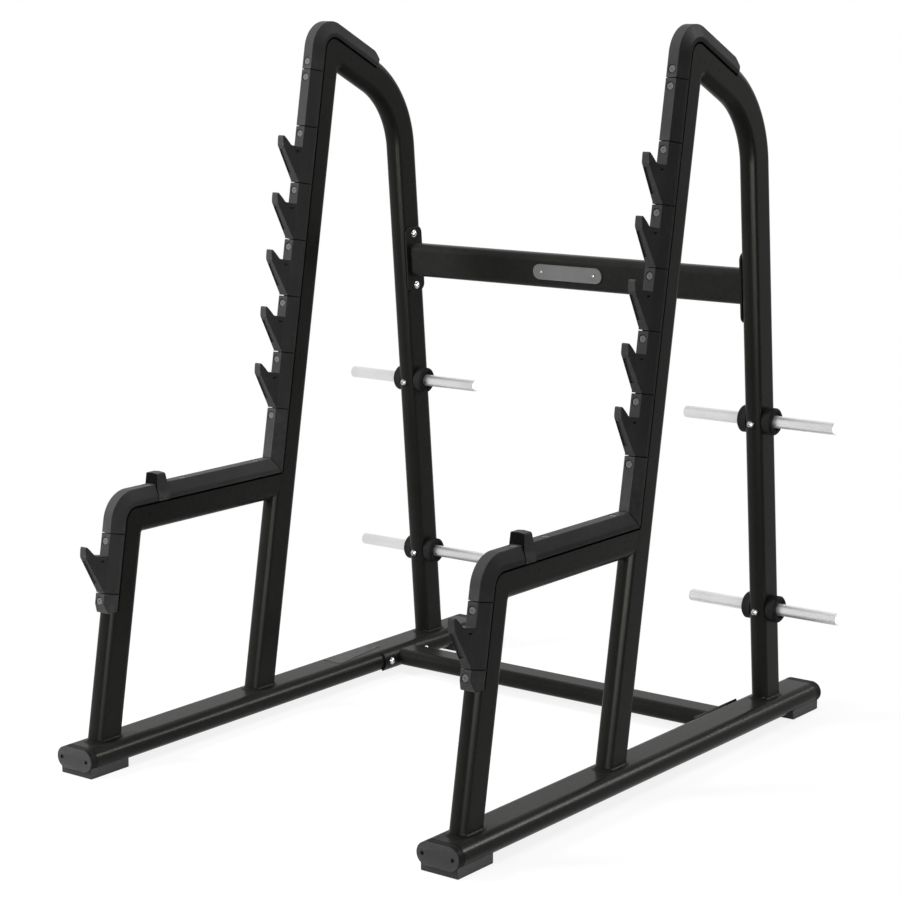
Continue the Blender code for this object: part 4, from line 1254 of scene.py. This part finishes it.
def foot_fillet(name, run):
    bm = bmesh.new()
    rings = []
    for step in range(FILLET_STEPS + 1):
        angle = math.pi / 2 * step / FILLET_STEPS
        grown = FILLET_REACH * (1 - math.cos(angle))
        rise = FILLET_REACH * (1 - math.sin(angle))
        rings.append(oval_ring(bm, run, grown + HAIR, RAIL_TOP + rise + HAIR))
    for level in (RAIL_TOP - FILLET_ROOT, RAIL_TOP + FILLET_REACH):
        rings.append(oval_ring(bm, run, -FILLET_ROOT, level))
    for first, second in zip(rings, rings[1:] + rings[:1]):
        bmesh.ops.bridge_loops(bm, edges=first + second)
    return kept(bm, name)


foot_fillets = {
    name: foot_fillet(name, run)
    for name, run in (("upright_fillet", MAIN), ("post_fillet", POST), ("rear_fillet", REAR))
}
tell(*foot_fillets.values())

# %% [markdown]
# ## Finishes
#
# A finish is a material built from nodes. All of them start from one recipe: a slow noise shifts
# the colour a little, a fine noise gives the grain as bump, another makes the gloss uneven, and
# worn edges turn paler. The numbers make it powder coat, moulded plastic, rubber or steel.

# %% Nodes and noise
WHITE = (1.0, 1.0, 1.0, 1.0)
EVEN = (1.0, 1.0, 1.0)


def fed(tree, node, inputs):
    """Gives a node's inputs their values, or links them where the value is an output."""
    for name, value in inputs.items():
        if isinstance(value, bpy.types.NodeSocket):
            tree.links.new(value, node.inputs[name])
        else:
            node.inputs[name].default_value = value


def added(tree, kind, output, inputs=None, **settings):
    """Adds a node, sets it up, feeds it and returns one of its outputs."""
    node = tree.nodes.new(f"ShaderNode{kind}")
    for name, value in settings.items():
        setattr(node, name, value)
    fed(tree, node, inputs or {})
    return node.outputs[output]


def noise(tree, scale, detail=3.0, stretch=EVEN):
    """A noise on the piece's own coordinates, stretched along an axis where asked."""
    where = added(tree, "TexCoord", "Object")
    mapped = added(tree, "Mapping", "Vector", {"Scale": stretch, "Vector": where})
    return added(tree, "TexNoise", "Fac", {"Scale": scale, "Detail": detail, "Vector": mapped})


def ranged(tree, value, low, high, start=0.3, end=0.7):
    """Maps a value's range, which is a noise's usual one by default, to another range."""
    limits = {"From Min": start, "From Max": end, "To Min": low, "To Max": high}
    return added(tree, "MapRange", "Result", {**limits, "Value": value})


def blended(tree, share, first, second):
    """Mixes two colours by a share."""
    inputs = {"Factor": share, "A": first, "B": second}
    return added(tree, "Mix", "Result", inputs, data_type="RGBA")


def worked_out(tree, operation, first, second):
    """One number from two, by a named operation."""
    return added(tree, "Math", "Value", {0: first, 1: second}, operation=operation)


# %% The recipe for a finish
TONE_SCALE = 7.0
GLOSS_SCALE = 90.0
WEAR_SCALE = 60.0
WEAR_RANGE = (0.25, 1.0)
EDGE_RANGE = (0.53, 0.60)
print("one cloud of tone is about", 1 / TONE_SCALE, "metres wide")


def grey(level, blue=None):
    """A grey, a little warmer or cooler where its blue is given."""
    return (level, level, level if blue is None else blue, 1.0)


def worn_at_edges(tree, colour, worn):
    """Lets a paler colour through in patches along the edges."""
    edges = added(tree, "NewGeometry", "Pointiness")
    edges = ranged(tree, edges, 0.0, 1.0, *EDGE_RANGE)
    patches = ranged(tree, noise(tree, WEAR_SCALE), *WEAR_RANGE)
    return blended(tree, worked_out(tree, "MULTIPLY", edges, patches), colour, worn)


def finish(
    name, dark, pale, rough, grain, worn=None, metallic=0.0, specular=0.5, stretch=EVEN, sheen=WHITE
):
    """A finish. Grain is its scale, its depth in metres and its strength."""
    material = bpy.data.materials.new(name)
    material.use_nodes = True
    tree = material.node_tree
    colour = blended(tree, ranged(tree, noise(tree, TONE_SCALE), 0.0, 1.0), dark, pale)
    if worn:
        colour = worn_at_edges(tree, colour, worn)
    scale, depth, strength = grain
    bumps = {"Strength": strength, "Distance": depth, "Height": noise(tree, scale, 2.0, stretch)}
    inputs = {
        "Metallic": metallic,
        "Specular IOR Level": specular,
        "Specular Tint": sheen,
        "Base Color": colour,
        "Roughness": ranged(tree, noise(tree, GLOSS_SCALE, 4.0, stretch), *rough),
        "Normal": added(tree, "Bump", "Normal", bumps),
    }
    fed(tree, tree.nodes["Principled BSDF"], inputs)
    return material


# %% [markdown]
# The frame wears satin black powder coat with a faint orange peel. Guards are dark grey plastic
# with a fine moulded grain, plugs are a paler grey of the same plastic, and the feet and the stop
# are rubber. Horns are brushed round and round, so their noise is stretched across that way.

# %% Paint and plastic
WARM_SHEEN = (1.0, 0.98, 0.88, 1.0)

black_paint = finish(
    "black_paint", grey(0.0084, 0.0081), grey(0.0104, 0.0100), (0.27, 0.31),
    (700.0, 0.0001, 0.02), worn=grey(0.014, 0.013), specular=0.050, sheen=WARM_SHEEN,
)
# Painted shade: the fillets are a little darker than the frame's paint, for the shade in the crease
# at each foot. Their rippled grain is the weld's own.
shaded_weld_paint = finish(
    "shaded_weld_paint", grey(0.0065, 0.0062), grey(0.0090, 0.0086), (0.30, 0.42),
    (420.0, 0.0004, 0.30), specular=0.035, sheen=WARM_SHEEN,
)
guard_plastic = finish(
    "guard_plastic", grey(0.035), grey(0.043), (0.32, 0.40),
    (2200.0, 0.0002, 0.14), worn=grey(0.062), specular=0.010,
)
plug_plastic = finish(
    "plug_plastic", grey(0.090, 0.091), grey(0.110, 0.111), (0.45, 0.55),
    (2200.0, 0.0002, 0.15), specular=0.10,
)
cap_plastic = finish(
    "cap_plastic", grey(0.030), grey(0.037), (0.50, 0.62),
    (1800.0, 0.0002, 0.22), worn=grey(0.060, 0.061), specular=0.06,
)
collar_plastic = finish(
    "collar_plastic", grey(0.0105, 0.0106), grey(0.0135, 0.0136), (0.40, 0.50),
    (1800.0, 0.0002, 0.20), worn=grey(0.018), specular=0.015,
)
print("painted and moulded finishes", len(bpy.data.materials))

# %% Rubber
# Painted shadow: a near-black, matt finish for the sheets under the guards' lips and in their
# seams.
painted_shadow = finish(
    "painted_shadow", grey(0.0012), grey(0.0020), (0.60, 0.75),
    (1500.0, 0.0002, 0.20), specular=0.0,
)
stop_rubber = finish(
    "stop_rubber", grey(0.034), grey(0.042), (0.38, 0.50),
    (1500.0, 0.0003, 0.20), worn=grey(0.060), specular=0.03,
)
# Painted shade: both ends of the stop are near-black, much darker than its rubber.
stop_end_shade = finish(
    "stop_end_shade", grey(0.0040), grey(0.0055), (0.50, 0.60),
    (1500.0, 0.0003, 0.20), specular=0.01,
)
foot_rubber = finish(
    "foot_rubber", grey(0.014), grey(0.018), (0.50, 0.62),
    (1300.0, 0.0003, 0.25), worn=grey(0.032), specular=0.24,
)
print("with rubber", len(bpy.data.materials))

# %% Metal
horn_steel = finish(
    "horn_steel", grey(0.68, 0.676), grey(0.79, 0.786), (0.40, 0.52),
    (60.0, 0.0002, 0.18), metallic=1.0, stretch=(40.0, 1.0, 1.0),
)
chrome = finish(
    "chrome", grey(0.42), grey(0.55), (0.12, 0.22),
    (400.0, 0.0001, 0.08), metallic=1.0,
)
badge_metal = finish(
    "badge_metal", grey(0.140, 0.141), grey(0.175, 0.176), (0.34, 0.46),
    (70.0, 0.0001, 0.15), worn=grey(0.30), metallic=0.7, stretch=(1.0, 30.0, 30.0),
)
print("with metal", len(bpy.data.materials))

# %% [markdown]
# ## Putting the pieces on the rack
#
# Every finished piece keeps its place in its own mesh, so its object stays at the origin. Flat
# faces beside rounded edges shade best with weighted normals. Each piece rides on the rack's one
# body, and the plain CAD pieces that it stands for are hidden.

# %% Show a piece
SHARP_ANGLE = math.radians(32.0)
SIDES = {"left": -HALF_SPACING, "right": HALF_SPACING}
SECOND_FINISHES = {
    guard_plastic: painted_shadow,
    cap_plastic: collar_plastic,
    stop_rubber: stop_end_shade,
}


def show(name, mesh, finish_material, slot, *nodes):
    """Adds a finished piece to the rack, in place of the CAD nodes named."""
    own = mesh.copy()
    own.name = name
    own.materials.append(finish_material)
    if finish_material in SECOND_FINISHES:
        own.materials.append(SECOND_FINISHES[finish_material])
    own.shade_smooth()
    own.set_sharp_from_angle(angle=SHARP_ANGLE)
    obj = linked(name, own)
    weighted = obj.modifiers.new("even shading", "WEIGHTED_NORMAL")
    weighted.keep_sharp = True
    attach(obj, "root")
    if nodes:
        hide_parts(*nodes)


def show_on_both(name, mesh, place, finish_material, slot, is_node=False):
    """Shows a piece on both side frames, where asked in place of the CAD nodes of its name."""
    for side, x in SIDES.items():
        piece = f"{side}_{name}"
        nodes = [piece] if is_node else []
        ending = "_part" if is_node else ""
        show(piece + ending, placed(mesh, moved(x=x) @ place), finish_material, slot, *nodes)


# %% [markdown]
# ## The two side frames
#
# Left and right are the same pieces, one spacing apart. The hooks are one moulding, so their
# off-centre slots face the same way on both sides, as they do on the real rack.

# %% Tubes and horns of the side frames
AS_MADE = Matrix.Identity(4)
HORN_HEIGHTS = {"upper": 0.8386, "lower": 0.325}

tubes = {
    "base_rail": base_rail,
    "front_post": front_post,
    "safety_arm": safety_arm,
    "main_upright": main_upright,
    "rear_upright": rear_upright,
}
for name, mesh in tubes.items():
    show_on_both(name, mesh, AS_MADE, black_paint, "black_paint", True)
for level, height in HORN_HEIGHTS.items():
    place = Matrix.Translation(REAR.at_height(height)) @ TO_SIDE
    show_on_both(f"{level}_horn", horn, place, horn_steel, "horn_steel", True)
print("tubes", 2 * len(tubes), "horns", 2 * len(HORN_HEIGHTS))

# %% [markdown]
# Some mouldings have a second finish: a near-black sheet under a guard's lips that paints the
# shadow there, the collar of a cap, and the ends of a stop, painted near-black for shade. A test
# picks the faces that get it, by where they are and which way they look.


# %% Two-toned pieces
def two_toned(mesh, is_second):
    """Gives the faces that pass a test the second finish."""
    for face in mesh.polygons:
        face.material_index = int(is_second(face))


# Faces under the lips get the near-black sheet that paints their shadow.
def on_lip_shadow(face):
    beside_bore = abs(abs(face.center.x) - BORE - LIP_SHADOW_THICKNESS) < HAIR
    return beside_bore and abs(face.normal.x) > 0.99


def behind_groove(face):
    return face.center.y > CAP_STEPS[2][0] - RACK_END


# The stop's ends get the near-black painted shade.
def on_shaded_stop_end(face):
    return abs(face.normal.y) > 0.95


two_toned(rail_cap, behind_groove)
two_toned(arm_stop, on_shaded_stop_end)
for mesh in (top_guard, arm_guard, lower_guard, guard_end, plain_guard, hook_guard):
    two_toned(mesh, on_lip_shadow)
    print(mesh.name, "seal faces", sum(face.material_index for face in mesh.polygons))

# %% Guards of the side frames
guards = [
    ("top_guard", top_guard, AS_MADE),
    ("arm_guard", arm_guard, AS_MADE),
    ("lower_guard", lower_guard, AS_MADE),
    ("guard_end", guard_end, AS_MADE),
    ("spacer_guard", plain_guard, MAIN.stand(FIRST_SEAM - HOOK_PITCH)),
    ("front_hook_guard", hook_guard, POST.stand(FRONT_SEAM - HOOK_PITCH)),
]
for number in range(1, HOOKS + 1):
    place = MAIN.stand(FIRST_SEAM - (number + 1) * HOOK_PITCH)
    guards.append((f"hook_guard_{number}", hook_guard, place))
for name, mesh, place in guards:
    show_on_both(name, mesh, place, guard_plastic, "guard_plastic", True)
print("guards", 2 * len(guards))

# %% Caps, feet and stops
show_on_both("arm_stop", arm_stop, AS_MADE, stop_rubber, "stop_rubber", True)
RAIL_ENDS = {"front": AS_MADE, "rear": Matrix.Rotation(math.pi, 4, "Z")}
for end, turn in RAIL_ENDS.items():
    show_on_both(f"{end}_cap", rail_cap, turn, cap_plastic, "cap_plastic", True)
    show_on_both(f"{end}_foot", rail_foot, turn, foot_rubber, "foot_rubber", True)
print("caps and feet", 4 * len(RAIL_ENDS))

# %% Collars
for side, x in SIDES.items():
    outwards = math.copysign(1, x)
    for level, height in HORN_HEIGHTS.items():
        for position, facing in (("inner", -outwards), ("outer", outwards)):
            turn = Matrix.Rotation(facing * math.pi / 2, 4, "Y")
            place = Matrix.Translation(REAR.at_height(height) + Vector((x, 0, 0))) @ turn
            node = f"{side}_{level}_{position}_collar"
            show(f"{node}_part", placed(collar, place), collar_plastic, "black_paint", node)
print("collars", 4 * len(HORN_HEIGHTS))

# %% Shared pieces
shared = {"crossbeam": crossbeam, "base_cross_tube": cross_tube}
shared.update({f"crossbeam_plate_{side}": mesh for side, mesh in beam_plates.items()})
for node, mesh in shared.items():
    show(f"{node}_part", mesh, black_paint, "black_paint", node)
show("badge_part", badge, badge_metal, "badge_metal", "badge")
print("shared pieces", len(shared) + 1)

# %% [markdown]
# ## Plugs in the guards
#
# A plug fills each round seat. All of them are measured from a seam, so they follow the guards.


# %% Plugs
def strip_place(run, distance):
    """A place on a guard's strip, with Z pointing out of it."""
    return run.stand(distance) @ moved(y=-GUARD_OUT) @ TO_FRONT


plug_places = [strip_place(MAIN, FIRST_SEAM + PLUG_DROP)]
for number in range(HOOKS + 2):
    plug_places.append(strip_place(MAIN, FIRST_SEAM - number * HOOK_PITCH - GAP - PLUG_DROP))
plug_places.append(strip_place(POST, FRONT_SEAM - GAP - PLUG_DROP))
plug_places.append(strip_place(POST, FRONT_SEAM - HOOK_PITCH - GAP - END_PLUG_DROP))
plug_places += [moved(y=y, z=ARM_HEIGHT + GUARD_OUT) for y in ARM_HOLES_Y]
for number, place in enumerate(plug_places, 1):
    show_on_both(f"plug_{number}", plug, place, plug_plastic, "guard_plastic")
print("plugs", 2 * len(plug_places))

# %% Painted shade under the seams
seam_places = [MAIN.stand(FIRST_SEAM - number * HOOK_PITCH) for number in range(HOOKS + 2)]
seam_places += [POST.stand(FRONT_SEAM - number * HOOK_PITCH) for number in range(2)]
for number, place in enumerate(seam_places, 1):
    show_on_both(f"seam_seal_{number}", seam_seal, place, painted_shadow, "guard_plastic")
print("seam seals", 2 * len(seam_places))

# %% [markdown]
# ## Bolts
#
# Set bolts press on the horns from the front of each rear upright. Two bolts hold each crossbeam
# plate from inside, two hold each saddle plate, and small screws hold the badge and the caps.

# %% Set bolts
for level, height in HORN_HEIGHTS.items():
    front = REAR.at_height(height) - REAR.out * (TUBE_RADIUS + FLAT_HALF)
    place = Matrix.Translation(front) @ Matrix.Rotation(REAR_LEAN, 4, "X") @ TO_FRONT
    show_on_both(f"{level}_set_bolt", set_bolt, place, chrome, "horn_steel")
print("set bolts", 2 * len(HORN_HEIGHTS))

# %% Plate bolts
PLATE_BOLT_RISE = 0.0745
PLATE_INNER_X = PLATE_X - PLATE_SIZE[0] / 2
SADDLE_BOLT_REACH = 0.080
SADDLE_INNER_X = SADDLE_CENTRE_X - RAIL_RADIUS - GAP - SADDLE_THICKNESS

for side, x in SIDES.items():
    facing = math.copysign(1, x)
    inwards = Matrix.Rotation(-facing * math.pi / 2, 4, "Y")
    places = {
        "plate_bolt_high": on_beam(facing * PLATE_INNER_X, PLATE_BOLT_RISE, 0.0),
        "plate_bolt_low": on_beam(facing * PLATE_INNER_X, -PLATE_BOLT_RISE, 0.0),
        "saddle_bolt_front": moved(facing * SADDLE_INNER_X, CROSS_Y - SADDLE_BOLT_REACH, RAIL_MID),
        "saddle_bolt_rear": moved(facing * SADDLE_INNER_X, CROSS_Y + SADDLE_BOLT_REACH, RAIL_MID),
    }
    for name, place in places.items():
        show(f"{side}_{name}", placed(plate_bolt, place @ inwards), chrome, "horn_steel")
    print(side, "plate bolts", len(places))

# %% Small screws
BADGE_SCREW_REACH = 0.085
BADGE_FACE = -(BEAM_DEPTH / 2 + GAP + BADGE_SIZE[1] - BADGE_RIM_HEIGHT)
CAP_SCREW_SCALE = Matrix.Diagonal((0.8, 0.8, 0.5, 1.0))

for word, sign in (("left", -1), ("right", 1)):
    place = on_beam(sign * BADGE_SCREW_REACH, 0.0, BADGE_FACE) @ TO_FRONT
    show(f"badge_screw_{word}", placed(small_screw, place), chrome, "horn_steel")
    spot = moved(sign * CAP_SCREW_SPREAD, -RACK_END + CAP_SCREW_DEPTH, RAIL_MID) @ TO_FRONT
    for end, turn in RAIL_ENDS.items():
        place = turn @ spot @ CAP_SCREW_SCALE
        show_on_both(f"{end}_cap_screw_{word}", small_screw, place, black_paint, "black_paint")
print("screw heads", 2 * (1 + 2 * len(RAIL_ENDS)))

# %% [markdown]
# ## Fillets and the pad
#
# The fillets go on last, where the tubes stand on the rail. A thin bare pad lies on the left rail.

# %% Fillets and pad
PAD_CORNERS = ((-0.606, 0.179), (-0.541, 0.176), (-0.570, 0.388), (-0.6055, 0.395))
PAD_THICKNESS = 0.0006

# The fillets' darker finish is painted shade in the crease where each tube stands on the rail.
for name, mesh in foot_fillets.items():
    show_on_both(name, mesh, AS_MADE, shaded_weld_paint, "black_paint")

pad = bmesh.new()
pad_face = pad.faces.new([pad.verts.new((x, y, RAIL_TOP + HAIR)) for x, y in PAD_CORNERS])
pushed(pad, pad_face, (0.0, 0.0, PAD_THICKNESS))
show("left_rail_pad", kept(pad, "pad"), stop_rubber, "stop_rubber")
print("fillets", 2 * len(foot_fillets))

# %% [markdown]
# ## Camera
#
# The camera stands in front of the rack and well to its right, a little above its top, and looks
# down by about ten degrees with a long lens. A long lens keeps the two side frames nearly
# parallel, as they are in a catalogue picture.

# %% Camera
CAMERA_PLACE = (3.6728, -4.8637, 1.9260)
CAMERA_DOWN = 10.675
CAMERA_ROUND = 37.20

lens = bpy.data.cameras.new("camera")
lens.lens = 96.0
lens.sensor_width = 36.0
lens.clip_end = 200.0
camera = linked("camera", lens)
camera.location = CAMERA_PLACE
camera.rotation_euler = (math.radians(90.0 - CAMERA_DOWN), 0.0, math.radians(CAMERA_ROUND))
bpy.context.scene.camera = camera
print("camera at", CAMERA_PLACE)

# %% [markdown]
# ## Floor and light
#
# The rack stands on a plain pale floor that fades into a white background. The floor keeps the
# soft shadow near the rack, and further out it becomes plain white. That change follows the
# place on the floor and not the camera, so that it holds from every side.

# %% Floor
FLOOR_HALF = 60.0
PAPER = grey(0.85)
FAR_PAPER = grey(0.15)
PAPER_FADE = (1.3, 2.2)
NEAR_WHITE = 0.86
WHITE_FADE = (0.9, 1.6)


def seen_directly(tree):
    """One where the camera, a reflection or glass sees the surface, and nought where light does."""
    ray = tree.nodes.new("ShaderNodeLightPath").outputs
    either = worked_out(tree, "MAXIMUM", ray["Is Camera Ray"], ray["Is Glossy Ray"])
    return worked_out(tree, "MAXIMUM", either, ray["Is Transmission Ray"])


def floor_finish():
    material = bpy.data.materials.new("studio_floor")
    material.use_nodes = True
    tree = material.node_tree
    tree.nodes.remove(tree.nodes["Principled BSDF"])
    where = added(tree, "TexCoord", "Object")
    length = added(tree, "VectorMath", "Value", {0: where}, operation="LENGTH")
    fade = ranged(tree, length, 0.0, 1.0, *PAPER_FADE)
    colour = blended(tree, fade, PAPER, FAR_PAPER)
    paper = added(tree, "BsdfDiffuse", "BSDF", {"Color": colour})
    away = ranged(tree, length, NEAR_WHITE, 1.0, *WHITE_FADE)
    share = worked_out(tree, "MULTIPLY", away, seen_directly(tree))
    glow = added(tree, "Emission", "Emission")
    mixed = added(tree, "MixShader", "Shader", {"Fac": share, 1: paper, 2: glow})
    fed(tree, tree.nodes["Material Output"], {"Surface": mixed})
    return material


sheet = bmesh.new()
bmesh.ops.create_grid(sheet, x_segments=1, y_segments=1, size=FLOOR_HALF)
floor_mesh = bpy.data.meshes.new("floor")
sheet.to_mesh(floor_mesh)
sheet.free()
floor_mesh.materials.append(floor_finish())
floor = linked("floor", floor_mesh)
print("floor", 2 * FLOOR_HALF, "metres wide")

# %% [markdown]
# Large soft lamps stand in for the studio's light boxes. Black paint shows a lamp mostly as a
# reflection, so the work is shared out: three lamps only light the rack and stay out of its
# reflections, and three bands, one at the right and two behind, only draw the soft highlights that
# run along the tubes and the guards' bevels.


# %% Lamps
def soft_box(name, place, target, size, power):
    lamp = bpy.data.lights.new(name, "AREA")
    lamp.shape = "RECTANGLE"
    lamp.size, lamp.size_y = size
    lamp.energy = power
    obj = linked(name, lamp)
    obj.location = place
    way = Vector(target) - Vector(place)
    obj.rotation_euler = way.to_track_quat("-Z", "Y").to_euler()
    return obj


overhead = soft_box("overhead", (0.0, -0.4, 7.0), (0.0, 0.0, 0.8), (4.0, 4.0), 450.0)
left_fill = soft_box("left_fill", (-3.0, -3.2, 2.6), (0.0, -0.2, 0.9), (1.6, 1.6), 395.0)
back_fill = soft_box("back_fill", (5.3, 6.3, 3.9), (0.5, 0.0, 0.8), (2.5, 1.2), 110.0)
for lamp in (overhead, left_fill, back_fill):
    lamp.visible_glossy = False
right_band = soft_box("right_band", (6.0, -2.4, 0.9), (0.3, 0.0, 0.9), (5.5, 1.7), 800.0)
back_band = soft_box("back_band", (4.4, 6.3, 4.3), (0.0, 0.0, 0.8), (4.0, 1.2), 260.0)
high_band = soft_box("high_band", (5.5, 5.0, 4.1), (0.6, -0.4, 0.7), (2.2, 1.2), 420.0)
for lamp in (right_band, back_band, high_band):
    lamp.visible_diffuse = False
print("lamps", len(bpy.data.lights))

# %% World
SKY_LIGHT = grey(0.12)

world = bpy.data.worlds.new("studio")
bpy.context.scene.world = world
world.use_nodes = True
sky = world.node_tree
colour = blended(sky, seen_directly(sky), SKY_LIGHT, WHITE)
fed(sky, sky.nodes["Background"], {"Color": colour, "Strength": 1.0})
bpy.context.scene.view_settings.view_transform = "Standard"
print("background", WHITE, "light from the sky", SKY_LIGHT)
